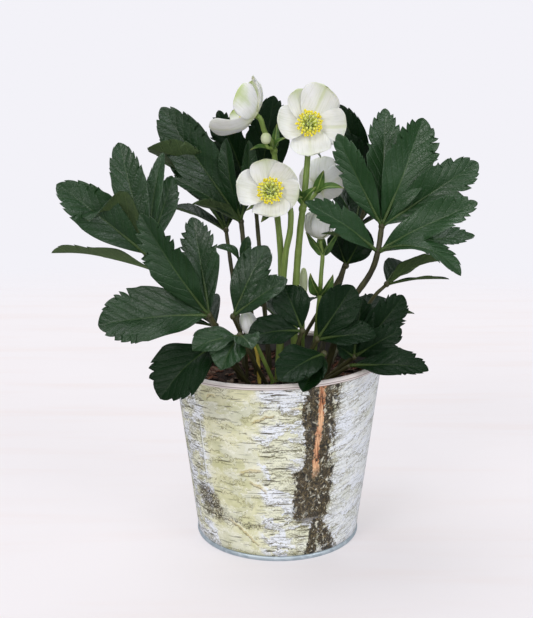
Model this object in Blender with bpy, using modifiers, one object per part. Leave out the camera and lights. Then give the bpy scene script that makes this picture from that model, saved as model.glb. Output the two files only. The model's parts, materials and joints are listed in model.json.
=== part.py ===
"""A young hellebore in a tapered metal pot: soil, leaves, flower stems, blooms and buds, each its own solid.

Metres, +Z up. The origin is the centre of the pot's foot on the surface it stands on, and +Y points away from
the side that is seen first. Lengths in the tables below are millimetres.
"""

import math
from collections import namedtuple

import bmesh
import bpy
from mathutils import Matrix, Vector

MM = 0.001

# The pot, in millimetres
RIM_RADIUS = 75.0
FOOT_RADIUS = 58.5
POT_HEIGHT = 129.5
RIM_RISE = 3.0
WALL_THICK = 0.9
RIM_BEAD = 2.0
HEM_HEIGHT = 3.6
HEM_THICK = 3.2
HEM_ROLL = 0.6
WALL_FOOT_RADIUS = FOOT_RADIUS - HEM_ROLL
WALL_TOP_RADIUS = RIM_RADIUS - RIM_BEAD + 0.5
BEAD_ANGLES = (165, 105, 45, -15, -75)
DISC_RECESS = 1.5
DISC_THICK = 1.0
SEAT_GAP = 0.3
POT_STEPS = 28

# The soil
SOIL_TOP = 114.0
SOIL_FLOOR = DISC_RECESS + DISC_THICK + SEAT_GAP
SOIL_RIPPLE = 1.6
SOIL_MARGIN = 0.8
SOIL_STEPS = 24
HOLE_CLEARANCE = 0.5
STEM_FOOT = SOIL_TOP - 11.0
HOLE_FLOOR = STEM_FOOT - 1.0
CUTTER_LENGTH = 30.0
STRAIGHT = 3.5

# Blades
BLADE_THICK = 0.8
BLADE_BASE = 0.9
BASE_OUT = 1.2
BLADE_TIP = 0.7
TOOTH_DEPTH = 0.13
TOOTH_START = 0.42
TOOTH_REACH = 0.035
ROW_CROWDING = 0.78
HUB_RADIUS = 2.1

# Blooms
PETAL_THICK = 0.8
PETAL_ROLL = 0.17
PETAL_CUP = 0.16
PETAL_ENDS = 0.7
SEAT_BACK = 0.9
SEAT_FRONT = 1.7
SEAT_RADIUS = 3.4
STAMEN_RING = ((3.3, 0.0), (3.3, 1.2), (1.6, 1.2), (1.6, 0.0))
RING_SIDES = 8
GOLDEN_ANGLE = math.pi * (3 - math.sqrt(5))
FILAMENT_LENGTH = 7.2
FILAMENT_RADIUS = 0.36
ANTHER_RADIUS = 0.85
CARPEL_LENGTH = 4.0
CARPEL_RADIUS = 1.2
STYLE_COUNT = 5
STYLE_LENGTH = 6.4
STYLE_RADIUS = 0.62
BUD_SWELL = 0.05

Leaflet = namedtuple("Leaflet", "tip width facing bow hub fold", defaults=(0, 0.22))
Leaf = namedtuple("Leaf", "root radius via hubs leaflets")
Bract = namedtuple("Bract", "base tip width facing bow")
Stem = namedtuple("Stem", "root radius points carries bracts branches", defaults=((), ()))
Branch = namedtuple("Branch", "radius points carries")
Bloom = namedtuple("Bloom", "seat axis sepals curl")
Sepal = namedtuple("Sepal", "turn length width")

# Each leaf: where its stalk leaves the soil, the stalk's radius, points it passes, its hubs, and for each
# leaflet the tip, the width, the way its upper side faces, how far its midrib arches, and its hub.
LEAVES = {
    "leaf_left_high": Leaf(
        (-27, -8), 2.2, [(-48, -43, 169)], [(-80, -48, 199), (-85, -47, 208)],
        [
            Leaflet((-137, -64, 255), 29, (-1, -9, 5), 4, 1),
            Leaflet((-148, -40, 209), 20, (0, 5, 9), 3, 0),
            Leaflet((-114, -86, 235), 31, (0, 7, 5), 20, 1),
            Leaflet((-103, -32, 279), 24, (1, -9, 2), 3, 1),
            Leaflet((-76, -20, 272), 14, (-4, -9, 2), 3, 1),
            Leaflet((-71, -10, 256), 17, (4, -9, 2), 2, 1),
        ],
    ),
    "leaf_left_low": Leaf(
        (-24, -20), 2.2, [], [(-45, -54, 170)],
        [
            Leaflet((-85, -74, 238), 29, (-3, -9, 3), 6),
            Leaflet((-56, -42, 232), 26, (2, -9, 2), 3),
            Leaflet((-114, -70, 167), 42, (0, -8, 6), 5),
        ],
    ),
    "leaf_left_drape": Leaf(
        (-20, -32), 1.8, [], [(-41, -64, 153)],
        [Leaflet((-75, -84, 124), 42, (-2, -7, 7), 4)],
    ),
    "leaf_centre_left": Leaf(
        (-13, -8), 1.7, [], [(-30, -44, 167)],
        [
            Leaflet((-8, -38, 213), 26, (-2, -9, 3), 3),
            Leaflet((5, -55, 194), 19, (-1, -7, 6), 2),
        ],
    ),
    "leaf_lobed": Leaf(
        (-8, -33), 1.5, [], [(-25, -68, 160)],
        [
            Leaflet((-54, -82, 154), 24, (-1, -6, 8), 2),
            Leaflet((-36, -89, 144), 25, (0, -6, 8), 2),
            Leaflet((-17, -85, 156), 18, (1, -6, 8), 2),
        ],
    ),
    "leaf_front": Leaf(
        (4, -35), 1.8, [], [(15, -55, 160)],
        [
            Leaflet((3, -46, 188), 26, (0, -9, 4), 3),
            Leaflet((-20, -65, 158), 24, (0, -7, 7), 3),
        ],
    ),
    "leaf_front_drape": Leaf(
        (18, -36), 1.8, [], [(29, -60, 146)],
        [
            Leaflet((-1, -90, 137), 29, (0, -7, 7), 4),
            Leaflet((14, -92, 130), 20, (0, -5, 8), 2),
        ],
    ),
    "leaf_mid_right": Leaf(
        (12, -22), 1.8, [], [(25, -50, 153)],
        [
            Leaflet((48, -46, 188), 28, (1, -9, 4), 3),
            Leaflet((62, -62, 158), 22, (1, -7, 7), 3),
        ],
    ),
    "leaf_right_low": Leaf(
        (34, -18), 2.0, [], [(50, -38, 138)],
        [
            Leaflet((38, -50, 149), 13, (0, -9, 4), 1),
            Leaflet((56, -28, 176), 24, (-1, -9, 3), 2),
            Leaflet((84, -24, 177), 27, (2, -9, 3), 3),
            Leaflet((81, -42, 158), 22, (3, -8, 5), 2),
        ],
    ),
    "leaf_right_drape": Leaf(
        (30, -30), 1.7, [], [(47, -48, 135)],
        [Leaflet((95, -68, 138), 24, (0, -6, 8), 2)],
    ),
    "leaf_right_high": Leaf(
        (34, -4), 2.4, [(45, -12, 161), (62, -16, 190)], [(67, -17, 206), (70, -10, 222)],
        [
            Leaflet((38, -22, 284), 22, (-3, -9, 2), 3, 1),
            Leaflet((97, -2, 294), 38, (1, -9, 1), 4, 1),
            Leaflet((73, 14, 300), 27, (0, -9, 2), 2, 1),
            Leaflet((134, -8, 265), 32, (2, -9, 4), 4, 1),
            Leaflet((130, -30, 240), 27, (1, -8, 6), 4, 0),
            Leaflet((117, -50, 196), 24, (2, -5, 8), 12, 0),
            Leaflet((17, -42, 242), 22, (-2, -8, 5), 4, 0),
            Leaflet((29, -16, 218), 11, (0, 5, 9), 3, 0),
            Leaflet((136, 2, 214), 20, (0, -6, 8), 3, 0),
        ],
    ),
    "leaf_back_right": Leaf(
        (20, 16), 1.8, [(58, 38, 212)], [(66, 28, 252)],
        [
            Leaflet((41, 22, 303), 22, (-3, -8, 5), 4),
            Leaflet((42, 12, 283), 20, (-2, -8, 5), 3),
            Leaflet((88, 62, 280), 22, (2, 3, 9), 4),
        ],
    ),
    "leaf_right_olive": Leaf(
        (44, 10), 1.6, [(64, 4, 165)], [(76, 2, 180)],
        [
            Leaflet((112, 8, 196), 22, (0, 6, 8), 3),
            Leaflet((116, -16, 187), 11, (0, 1, 9), 2),
            Leaflet((96, 44, 188), 22, (1, 3, 9), 4),
        ],
    ),
    "leaf_upper_left": Leaf(
        (-15, 6), 2.2, [], [(-26, 18, 222)],
        [
            Leaflet((-80, 10, 301), 34, (-2, -9, 4), 4),
            Leaflet((-87, -12, 275), 29, (0, 7, 6), 17),
            Leaflet((-76, 26, 270), 24, (0, -9, 2), 2),
            Leaflet((-73, 2, 254), 11, (-5, -6, 6), 6),
            Leaflet((-58, -8, 237), 17, (0, 5, 8), 3),
            Leaflet((-36, 6, 280), 15, (-5, -8, 1), 3),
            Leaflet((-20, 2, 279), 14, (4, -9, 1), 3),
        ],
    ),
    "leaf_top_centre": Leaf(
        (-6, 18), 1.9, [], [(-16, 38, 232)],
        [
            Leaflet((-3, 30, 309), 33, (1, -9, 1), 3),
            Leaflet((-42, 34, 299), 28, (-2, -9, 1), 3),
            Leaflet((-8, 86, 288), 26, (0, 4, 9), 5),
        ],
    ),
    "leaf_shade_right": Leaf(
        (8, 24), 1.6, [], [(49, 20, 190)],
        [
            Leaflet((62, 14, 218), 24, (1, -9, 3), 2),
            Leaflet((41, 30, 213), 17, (-2, -9, 3), 2),
        ],
    ),
    "leaf_young": Leaf(
        (-22, 2), 1.1, [], [(-25, -27, 198)],
        [
            Leaflet((-41, -38, 212), 9, (-2, -6, 8), 5),
            Leaflet((-20, -30, 218), 8, (0, -9, 2), 1),
        ],
    ),
    "leaf_rear_left_high": Leaf(
        (-24, 18), 1.8, [], [(-38, 48, 212)],
        [
            Leaflet((-88, 70, 262), 26, (-3, 3, 9), 4),
            Leaflet((-62, 104, 262), 28, (-2, 5, 9), 5),
            Leaflet((-24, 112, 258), 28, (1, 5, 9), 5),
            Leaflet((-92, 88, 225), 24, (-4, 3, 9), 4),
        ],
    ),
    "leaf_rear_right_high": Leaf(
        (30, 24), 1.8, [], [(58, 50, 214)],
        [
            Leaflet((108, 80, 258), 28, (3, 3, 9), 4),
            Leaflet((76, 112, 260), 28, (1, 5, 9), 5),
            Leaflet((34, 108, 250), 26, (-2, 5, 9), 5),
            Leaflet((118, 64, 232), 24, (4, 2, 9), 4),
        ],
    ),
    "leaf_rear_low_left": Leaf(
        (-34, 20), 1.7, [], [(-46, 46, 140)],
        [
            Leaflet((-98, 72, 151), 30, (-2, 2, 9), 6),
            Leaflet((-70, 112, 148), 30, (-1, 4, 9), 6),
            Leaflet((-104, 36, 138), 26, (-3, 0, 9), 5),
        ],
    ),
    "leaf_rear_low_middle": Leaf(
        (0, 36), 1.7, [], [(2, 62, 140)],
        [
            Leaflet((-32, 118, 146), 30, (-1, 3, 9), 6),
            Leaflet((8, 132, 142), 30, (0, 4, 9), 7),
            Leaflet((42, 112, 147), 28, (1, 3, 9), 6),
        ],
    ),
    "leaf_rear_low_right": Leaf(
        (40, 26), 1.7, [], [(54, 46, 138)],
        [
            Leaflet((92, 90, 150), 30, (2, 3, 9), 6),
            Leaflet((104, 52, 148), 26, (2, 1, 9), 5),
            Leaflet((62, 100, 136), 26, (1, 3, 9), 5),
        ],
    ),
}

# Flower stems: root, radius, points on the way, the bloom or bud they carry, bracts and side branches.
STEMS = {
    "flower_stem_left": Stem(
        (2, 6), 2.2, [(2, 3, 195), (-1, 3, 232), (-3, 1, 272), (-9, 2, 284)], "bloom_left",
        [
            Bract((-3, 1, 273), (-19, -3, 273), 7, (-1, -4, 9), 2),
            Bract((-3, 1, 273), (5, -5, 281), 6, (0, -6, 8), 2),
            Bract((-3, 1, 273), (-1, 7, 290), 6, (1, -9, 0), 1),
        ],
        [Branch(1.2, [(-3, 1, 272), (-6, -6, 274.5)], "bud_round")],
    ),
    "flower_stem_front": Stem(
        (0, -12), 2.3, [(4, -12, 195), (8, -11, 220), (7, -8, 236)], "bloom_front",
        [
            Bract((5, -8, 240), (-22, -9, 233), 9, (-1, -5, 8), 2),
            Bract((5, -8, 239), (-12, -9, 225), 10, (0, -7, 7), 2),
            Bract((6, -8, 237), (16, -13, 242), 8, (1, -6, 8), 2),
        ],
    ),
    "flower_stem_right": Stem(
        (11, -3), 2.4, [(12, -4, 175), (15, -4, 219), (17.5, -2, 240), (20, 2, 270)], "bloom_right",
        [
            Bract((17, -3, 238), (25, -12, 249), 8, (1, -8, 5), 2),
            Bract((17, -3, 236), (11, -5, 251), 6, (-2, -8, 4), 1),
            Bract((20, 2, 272), (29, 8, 267), 8, (2, -4, 8), 2),
            Bract((26, 6, 243), (31, 3, 259), 8, (0, -9, 1), 1),
            Bract((26, 6, 243), (45, 0, 247), 8, (1, -6, 7), 4),
        ],
        [Branch(1.6, [(16.5, -3, 233), (22, 2, 239), (26, 6, 243)], "bloom_rear")],
    ),
    "flower_stem_half_open": Stem(
        (25, 3), 1.7, [(29, 0, 171), (30, 0, 188), (31, 4, 200)], "bloom_half_open",
        [
            Bract((31, 4, 200), (19, 4, 216), 8, (-8, -5, 2), -1),
            Bract((31, 4, 200), (42, 4, 216), 8, (8, -5, 2), -1),
            Bract((31, 4, 200), (30, 18, 215), 8, (0, 9, 2), -1),
            Bract((29, 0, 172), (22, -6, 189), 9, (-5, -8, 2), 2),
            Bract((29, 0, 172), (38, -4, 188), 9, (5, -8, 2), 2),
        ],
    ),
    "bud_stalk_slim": Stem((18, 8), 1.2, [(18, 7, 150)], "bud_slim"),
    "bud_stalk_low": Stem((-4, -22), 1.4, [(-12, -29, 138)], "bud_low"),
    "dried_stalk": Stem(
        (-13, -25), 1.2, [(-15, -26, 140), (-24, -28, 165), (-25, -31, 178), (-5, -32, 203)], None,
    ),
}

# Blooms: the seat on the stem, the way the bloom faces, its sepals, and how far they curl forward in radians
BLOOMS = {
    "bloom_front": Bloom(
        (-5, -14, 245.5), (-1, -9.5, 2.5),
        [Sepal(100, 24, 23), Sepal(46, 23, 21), Sepal(-14, 23, 22), Sepal(-86, 21, 26), Sepal(172, 26, 25)],
        0.95,
    ),
    "bloom_right": Bloom(
        (20, -5.5, 289), (0.5, -9.5, 2.8),
        [Sepal(64, 29, 27), Sepal(112, 26, 17), Sepal(176, 24, 24), Sepal(-88, 25, 27), Sepal(-8, 27, 24)],
        0.8,
    ),
    "bloom_left": Bloom(
        (-15.5, 0.5, 296), (-7, 1.4, 4.7),
        [Sepal(102, 29, 18), Sepal(148, 34, 17), Sepal(24, 27, 22), Sepal(200, 32, 18), Sepal(-64, 35, 24)],
        1.35,
    ),
    "bloom_rear": Bloom(
        (29, 11, 247.5), (2, 9, 3),
        [Sepal(90, 22, 21), Sepal(18, 21, 20), Sepal(-54, 21, 21), Sepal(-126, 20, 20), Sepal(162, 22, 20)],
        1.2,
    ),
    "bloom_half_open": Bloom(
        (29.5, 6.5, 212), (-0.3, 0.5, 9),
        [Sepal(18, 25, 13), Sepal(90, 25, 13), Sepal(162, 25, 13), Sepal(234, 25, 13), Sepal(306, 25, 13)],
        2.4,
    ),
}
SEEN_INTO = ("bloom_front", "bloom_right")
OPEN_BLOOMS = (*SEEN_INTO, "bloom_left", "bloom_rear")

Bud = namedtuple("Bud", "middle radii lean")
BUDS = {
    "bud_round": Bud((-8.4, -5.6, 280.6), (3.7, 3.7, 3.9), (0, 0)),
    "bud_slim": Bud((18, 5.4, 180.6), (3.0, 3.0, 10.5), (0, 3)),
    "bud_low": Bud((-20, -34.4, 160.2), (6.2, 6.2, 8.2), (-18, 4)),
}

COLOURS = {
    "leaf": ((0.035, 0.085, 0.035, 1), 0.38),
    "stem": ((0.18, 0.3, 0.06, 1), 0.45),
    "sepal": ((0.82, 0.84, 0.74, 1), 0.5),
    "stamen": ((0.85, 0.68, 0.05, 1), 0.6),
    "carpel": ((0.45, 0.62, 0.2, 1), 0.5),
    "bud": ((0.72, 0.78, 0.55, 1), 0.5),
    "dried": ((0.55, 0.48, 0.12, 1), 0.6),
    "soil": ((0.03, 0.02, 0.015, 1), 0.95),
    "bark": ((0.66, 0.66, 0.5, 1), 0.5),
    "zinc": ((0.55, 0.58, 0.6, 1), 0.4),
}


def clear_scene():
    for obj in list(bpy.data.objects):
        bpy.data.objects.remove(obj)


def collection(name, hidden=False):
    made = bpy.data.collections.new(name)
    bpy.context.scene.collection.children.link(made)
    made.hide_render = hidden
    return made


def material(kind, metallic=0.0):
    found = bpy.data.materials.get(kind)
    if found:
        return found
    colour, roughness = COLOURS[kind]
    made = bpy.data.materials.new(kind)
    made.use_nodes = True
    shader = made.node_tree.nodes["Principled BSDF"]
    shader.inputs["Base Color"].default_value = colour
    shader.inputs["Roughness"].default_value = roughness
    shader.inputs["Metallic"].default_value = metallic
    return made


def add_mesh(name, mesh, place):
    obj = bpy.data.objects.new(name, mesh)
    place.objects.link(obj)
    return obj


def from_bmesh(name, shape, place):
    mesh = bpy.data.meshes.new(name)
    shape.to_mesh(mesh)
    shape.free()
    return add_mesh(name, mesh, place)


def baked(obj, name, place):
    """The object's evaluated mesh as a plain mesh object, its loose caps welded. The old object goes."""
    bpy.context.view_layer.update()
    graph = bpy.context.evaluated_depsgraph_get()
    mesh = bpy.data.meshes.new_from_object(obj.evaluated_get(graph))
    shape = bmesh.new()
    shape.from_mesh(mesh)
    bmesh.ops.remove_doubles(shape, verts=shape.verts, dist=1e-6)
    shape.to_mesh(mesh)
    shape.free()
    where = obj.matrix_world.copy()
    bpy.data.objects.remove(obj)
    made = add_mesh(name, mesh, place)
    made.matrix_world = where
    return made


def finished(obj, kind, metallic=0.0):
    obj.data.materials.clear()
    obj.data.materials.append(material(kind, metallic))
    obj.data.shade_smooth()
    obj.data.set_sharp_from_angle(angle=math.radians(40))
    return obj


def turned(name, profile, place, steps=POT_STEPS):
    """A solid of revolution from a closed (radius, height) outline, run top to bottom on its outer side."""
    mesh = bpy.data.meshes.new(name)
    corners = [(radius * MM, 0.0, height * MM) for radius, height in profile]
    count = len(corners)
    mesh.from_pydata(corners, [(i, (i + 1) % count) for i in range(count)], [])
    obj = add_mesh(name, mesh, place)
    screw = obj.modifiers.new("Turn", "SCREW")
    screw.steps = screw.render_steps = steps
    screw.use_merge_vertices = True
    screw.merge_threshold = 0.0001
    return baked(obj, name, place)


def joined(name, parts, place):
    """One body from overlapping closed meshes: a union of the first with a collection of the others."""
    base, others = parts[0], parts[1:]
    if not others:
        base.name = name
        return base
    helper = collection(name + "_repeats", hidden=True)
    for other in others:
        for held in list(other.users_collection):
            held.objects.unlink(other)
        helper.objects.link(other)
    union = base.modifiers.new("Join", "BOOLEAN")
    union.operation = "UNION"
    union.operand_type = "COLLECTION"
    union.collection = helper
    union.solver = "MANIFOLD"
    made = baked(base, name, place)
    for other in others:
        bpy.data.objects.remove(other)
    bpy.data.collections.remove(helper)
    return made


def smooth_path(points, steps):
    """A Catmull-Rom curve through the points, with this many stretches between each two of them."""
    given = [Vector(p) for p in points]
    ends = [2 * given[0] - given[1]] + given + [2 * given[-1] - given[-2]]
    route = []
    for i in range(1, len(ends) - 2):
        a, b, c, d = ends[i - 1 : i + 3]
        for step in range(steps):
            t = step / steps
            square, cube = 2 * a - 5 * b + 4 * c - d, 3 * b - a - 3 * c + d
            route.append(0.5 * (2 * b + (c - a) * t + square * t**2 + cube * t**3))
    return route + [given[-1]]


def tube(name, points, radius, place, taper=1.0):
    """A round stem along the points, in millimetres, its radius at the far end scaled by taper."""
    curve = bpy.data.curves.new(name, "CURVE")
    curve.dimensions = "3D"
    curve.bevel_depth = radius * MM
    curve.bevel_resolution = 1
    curve.use_fill_caps = True
    line = curve.splines.new("POLY")
    line.points.add(len(points) - 1)
    for index, (point, given) in enumerate(zip(line.points, points)):
        point.co = (*(Vector(given) * MM), 1)
        point.radius = 1 + (taper - 1) * index / (len(points) - 1)
    obj = bpy.data.objects.new(name, curve)
    place.objects.link(obj)
    return baked(obj, name, place)


def ball(name, middle, radius, place, rows=3, columns=6):
    shape = bmesh.new()
    where = Matrix.Translation(Vector(middle) * MM)
    bmesh.ops.create_uvsphere(shape, u_segments=columns, v_segments=rows, radius=radius * MM, matrix=where)
    return from_bmesh(name, shape, place)


def leaflet_width(t):
    """Share of the full half width at t along a leaflet: a wedge, widest at two thirds, with a blunt tip."""
    return t**1.05 * (1 - t) ** 0.55 / (0.656**1.05 * 0.344**0.55)


def bract_width(t):
    """Share of the full half width at t along a bract: widest a third of the way up and pointed."""
    return t**0.5 * (1 - t) ** 0.9 / (0.357**0.5 * 0.643**0.9)


def sepal_width(t):
    """Share of the full half width at t along a sepal: broad and rounded, widest at two thirds."""
    return max(t, 0.03) ** 0.7 * (1.001 - t) ** 0.36 / (0.66**0.7 * 0.34**0.36)


def blade(
    name, base, tip, width, facing, bow, place, fold=0.22, along=6, toothed=True, outline=leaflet_width,
):
    """A thin blade from base to tip, in millimetres.

    At (t, s), t along and s across from -1 to 1, a point lies at base + axis t + side s w cos(fold)
    + normal (|s| w sin(fold) + 4 bow t (1 - t)), where w is half the width times the outline's share at t.
    Past TOOTH_START every second row is drawn in, which leaves the forward-pointing teeth.
    """
    base, tip, normal = Vector(base), Vector(tip), Vector(facing)
    axis = tip - base
    normal = (normal - axis * normal.dot(axis) / axis.length_squared).normalized()
    side = axis.normalized().cross(normal)
    shape = bmesh.new()
    bmesh.ops.create_grid(shape, x_segments=2, y_segments=along, size=0.5)
    for vert in shape.verts:
        across, row = round(vert.co.x * 2), round((vert.co.y + 0.5) * along)
        t = (row / along) ** ROW_CROWDING
        half = max(width / 2 * outline(min(max(t, 0.0), 1.0)), BLADE_TIP if t > 0.5 else BLADE_BASE)
        if toothed and TOOTH_START < t < 0.99 and row % 2 == 0:
            half *= 1 - TOOTH_DEPTH
        elif toothed and TOOTH_START < t < 0.99:
            t += TOOTH_REACH * abs(across)
        lift = abs(across) * half * math.sin(fold) + 4 * bow * t * (1 - t)
        place_mm = base + axis * t + side * across * half * math.cos(fold) + normal * lift
        vert.co = place_mm * MM
    bmesh.ops.triangulate(shape, faces=shape.faces)
    obj = from_bmesh(name, shape, place)
    skin = obj.modifiers.new("Thickness", "SOLIDIFY")
    skin.thickness = BLADE_THICK * MM
    skin.offset = 0
    return baked(obj, name, place)


def stalk_route(root, points, steps=3):
    """From under the soil's surface straight up out of it, then smoothly on through the points."""
    x, y = root
    foot, out = Vector((x, y, STEM_FOOT)), Vector((x, y, SOIL_TOP + STRAIGHT))
    return [foot, *smooth_path([out, *points], steps)]


def leaflet_rows(name, width):
    """How many rows a leaflet's blade is split into: more where it is broad and is seen from the front."""
    if width < 16 or "rear" in name:
        return 4
    if width < 22:
        return 5
    return 7 if width > 30 else 6


def leaf(name, spec, place):
    single = len(spec.leaflets) == 1
    route = stalk_route(spec.root, [*spec.via, *spec.hubs], steps=2 if spec.via else 3)
    parts = [tube(name + "_stalk", route, spec.radius, place, taper=0.75)]
    for number, hub in enumerate([] if single else spec.hubs):
        parts.append(ball(f"{name}_hub_{number}", hub, max(HUB_RADIUS, spec.radius * 0.95), place))
    for number, item in enumerate(spec.leaflets):
        hub = Vector(spec.hubs[item.hub])
        base = hub if single else hub + (Vector(item.tip) - hub).normalized() * BASE_OUT
        rows = leaflet_rows(name, item.width)
        parts.append(
            blade(
                f"{name}_{number}", base, item.tip, item.width, item.facing, item.bow, place,
                fold=item.fold, along=rows,
            )
        )
    return finished(joined(name, parts, place), "leaf")


def bloom_frame(spec):
    """The turn that takes +Z to the way the bloom faces, with its own +Y as near up as can be."""
    axis = Vector(spec.axis).normalized()
    up = Vector((0, 0, 1)) if abs(axis.z) < 0.9 else Vector((0, -1, 0))
    right = up.cross(axis).normalized()
    up = axis.cross(right)
    return Matrix((right, up, axis)).transposed().to_4x4()


def bud_turn(spec):
    lean_x, lean_y = (math.radians(angle) for angle in spec.lean)
    return Matrix.Rotation(lean_x, 3, "Y") @ Matrix.Rotation(-lean_y, 3, "X")


def top_points(carries):
    """The last points of a stem, which meet the back of what it carries with SEAT_GAP between them."""
    if carries in BLOOMS:
        spec = BLOOMS[carries]
        axis = Vector(spec.axis).normalized()
        return [Vector(spec.seat) - axis * (SEAT_BACK + SEAT_GAP + back) for back in (3.0, 0.0)]
    if carries in BUDS:
        spec = BUDS[carries]
        axis = bud_turn(spec) @ Vector((0, 0, 1))
        return [Vector(spec.middle) - axis * (spec.radii[2] + SEAT_GAP + back) for back in (2.0, 0.0)]
    return []


def flower_stem(name, spec, place):
    top = top_points(spec.carries)
    route = stalk_route(spec.root, [*spec.points, *top[:-1]], steps=2) + top[-1:]
    parts = [tube(name + "_stalk", route, spec.radius, place, taper=0.8)]
    for number, item in enumerate(spec.branches):
        top = top_points(item.carries)
        route = smooth_path([*item.points, *top[:-1]], 2) + top[-1:]
        parts.append(tube(f"{name}_branch_{number}", route, item.radius, place))
    for number, item in enumerate(spec.bracts):
        parts.append(
            blade(
                f"{name}_bract_{number}", item.base, item.tip, item.width, item.facing, item.bow, place,
                fold=0.3, along=3, toothed=False, outline=bract_width,
            )
        )
    kind = "dried" if name == "dried_stalk" else "stem"
    return finished(joined(name, parts, place), kind)


def sepal(name, spec, bloom, place):
    """One sepal, an arc of the bloom's cup: at t along, (r, h) = L/c (sin ct, 1 - cos ct), c the curl."""
    curl = bloom.curl
    turn = math.radians(spec.turn)
    out = Vector((math.cos(turn), math.sin(turn), 0))
    side = Vector((-math.sin(turn), math.cos(turn), 0))
    frame = bloom_frame(bloom)
    shape = bmesh.new()
    bmesh.ops.create_grid(shape, x_segments=2, y_segments=4, size=0.5)
    for vert in shape.verts:
        s, t = vert.co.x * 2, vert.co.y + 0.5
        half = max(spec.width / 2 * sepal_width(t), PETAL_ENDS)
        reach = spec.length / curl * math.sin(curl * t)
        rise = spec.length / curl * (1 - math.cos(curl * t)) + PETAL_ROLL * s * half
        inward = math.sin(curl * t)
        cupped = PETAL_CUP * s * s * half
        lift = Vector((0, 0, rise + cupped * math.cos(curl * t)))
        here = out * (reach - cupped * inward) + side * s * half + lift
        vert.co = (Vector(bloom.seat) + frame @ here) * MM
    bmesh.ops.triangulate(shape, faces=shape.faces)
    obj = from_bmesh(name, shape, place)
    skin = obj.modifiers.new("Thickness", "SOLIDIFY")
    skin.thickness = PETAL_THICK * MM
    skin.offset = 0
    return baked(obj, name, place)


def cone(name, foot, direction, length, foot_radius, end_radius, place, sides):
    """A slim tapered rod from a foot along a direction, in millimetres."""
    shape = bmesh.new()
    turn = Vector((0, 0, 1)).rotation_difference(Vector(direction)).to_matrix().to_4x4()
    where = Matrix.Translation(Vector(foot) * MM) @ turn @ Matrix.Translation((0, 0, length * MM / 2))
    bmesh.ops.create_cone(
        shape, cap_ends=True, segments=sides, radius1=foot_radius * MM, radius2=end_radius * MM,
        depth=length * MM, matrix=where,
    )
    return from_bmesh(name, shape, place)


def bloom_sepals(name, spec, place):
    frame = bloom_frame(spec)
    axis = frame @ Vector((0, 0, 1))
    back, depth = Vector(spec.seat) - axis * SEAT_BACK, SEAT_BACK + SEAT_FRONT
    seat = cone(name + "_seat", back, axis, depth, SEAT_RADIUS, SEAT_RADIUS, place, sides=8)
    parts = [seat]
    for number, item in enumerate(spec.sepals):
        parts.append(sepal(f"{name}_{number}", item, spec, place))
    return finished(joined(name + "_sepals", parts, place), "sepal")


def bloom_stamens(name, spec, place, count):
    """A ring round the carpels with club-ended stamens that lean outward in two rows."""
    frame = bloom_frame(spec)
    axis = frame @ Vector((0, 0, 1))
    foot = Vector(spec.seat) + axis * (SEAT_FRONT + SEAT_GAP)
    shape = bmesh.new()
    rows = []
    for radius, height in STAMEN_RING:
        row = []
        for k in range(RING_SIDES):
            angle = 2 * math.pi * k / RING_SIDES
            corner = Vector((radius * math.cos(angle), radius * math.sin(angle), height))
            row.append(shape.verts.new((foot + frame @ corner) * MM))
        rows.append(row)
    for low, high in zip(rows, rows[1:] + rows[:1]):
        for k in range(RING_SIDES):
            n = (k + 1) % RING_SIDES
            shape.faces.new((low[k], low[n], high[n], high[k]))
    parts = [from_bmesh(name + "_ring", shape, place)]
    for number in range(count):
        angle = number * GOLDEN_ANGLE
        lean = math.radians(24 + 30 * (number % 2) + 7 * math.sin(3.1 * number))
        out = Vector((math.cos(angle), math.sin(angle), 0))
        direction = frame @ (out * math.sin(lean) + Vector((0, 0, math.cos(lean))))
        start = foot + frame @ (out * 2.5 + Vector((0, 0, 0.5)))
        stamen = f"{name}_{number}"
        parts.append(cone(stamen, start, direction, FILAMENT_LENGTH, FILAMENT_RADIUS, ANTHER_RADIUS, place, 3))
    return finished(joined(name + "_stamens", parts, place), "stamen")


def bloom_carpels(name, spec, place):
    frame = bloom_frame(spec)
    axis = frame @ Vector((0, 0, 1))
    foot = Vector(spec.seat) + axis * (SEAT_FRONT + SEAT_GAP)
    parts = [cone(name + "_heart", foot, axis, CARPEL_LENGTH, CARPEL_RADIUS, 0.8 * CARPEL_RADIUS, place, 6)]
    for number in range(STYLE_COUNT):
        angle = 2 * math.pi * number / STYLE_COUNT
        out = Vector((math.cos(angle), math.sin(angle), 0))
        start = foot + frame @ (out * 0.55 + Vector((0, 0, 2.6)))
        direction = frame @ (out * 0.16 + Vector((0, 0, 1)))
        style = f"{name}_style_{number}"
        parts.append(cone(style, start, direction, STYLE_LENGTH, STYLE_RADIUS, STYLE_RADIUS / 2, place, 3))
    return finished(joined(name + "_carpels", parts, place), "carpel")


def bud(name, spec, place):
    """A ribbed egg: the radius swells on five sides where the closed sepals lie."""
    shape = bmesh.new()
    bmesh.ops.create_uvsphere(shape, u_segments=10, v_segments=5, radius=1.0)
    turn = bud_turn(spec)
    for vert in shape.verts:
        swell = 1 + BUD_SWELL * math.cos(5 * math.atan2(vert.co.y, vert.co.x)) * (1 - vert.co.z**2)
        x, y, z = (value * radius for value, radius in zip(vert.co, spec.radii))
        vert.co = (Vector(spec.middle) + turn @ Vector((x * swell, y * swell, z))) * MM
    return finished(from_bmesh(name, shape, place), "bud")


def wall_radius(height):
    """The outside radius of the pot's wall at a height, in millimetres."""
    share = (height - HEM_HEIGHT) / (POT_HEIGHT - RIM_BEAD - HEM_HEIGHT)
    return WALL_FOOT_RADIUS + (WALL_TOP_RADIUS - WALL_FOOT_RADIUS) * share


def raise_rim(obj):
    """The rim stands RIM_RISE higher on the right, fading to nothing at the foot."""
    for vert in obj.data.vertices:
        height = vert.co.z / (POT_HEIGHT * MM)
        vert.co.z += RIM_RISE * MM * vert.co.x / (RIM_RADIUS * MM) * max(height, 0) ** 3


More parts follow.
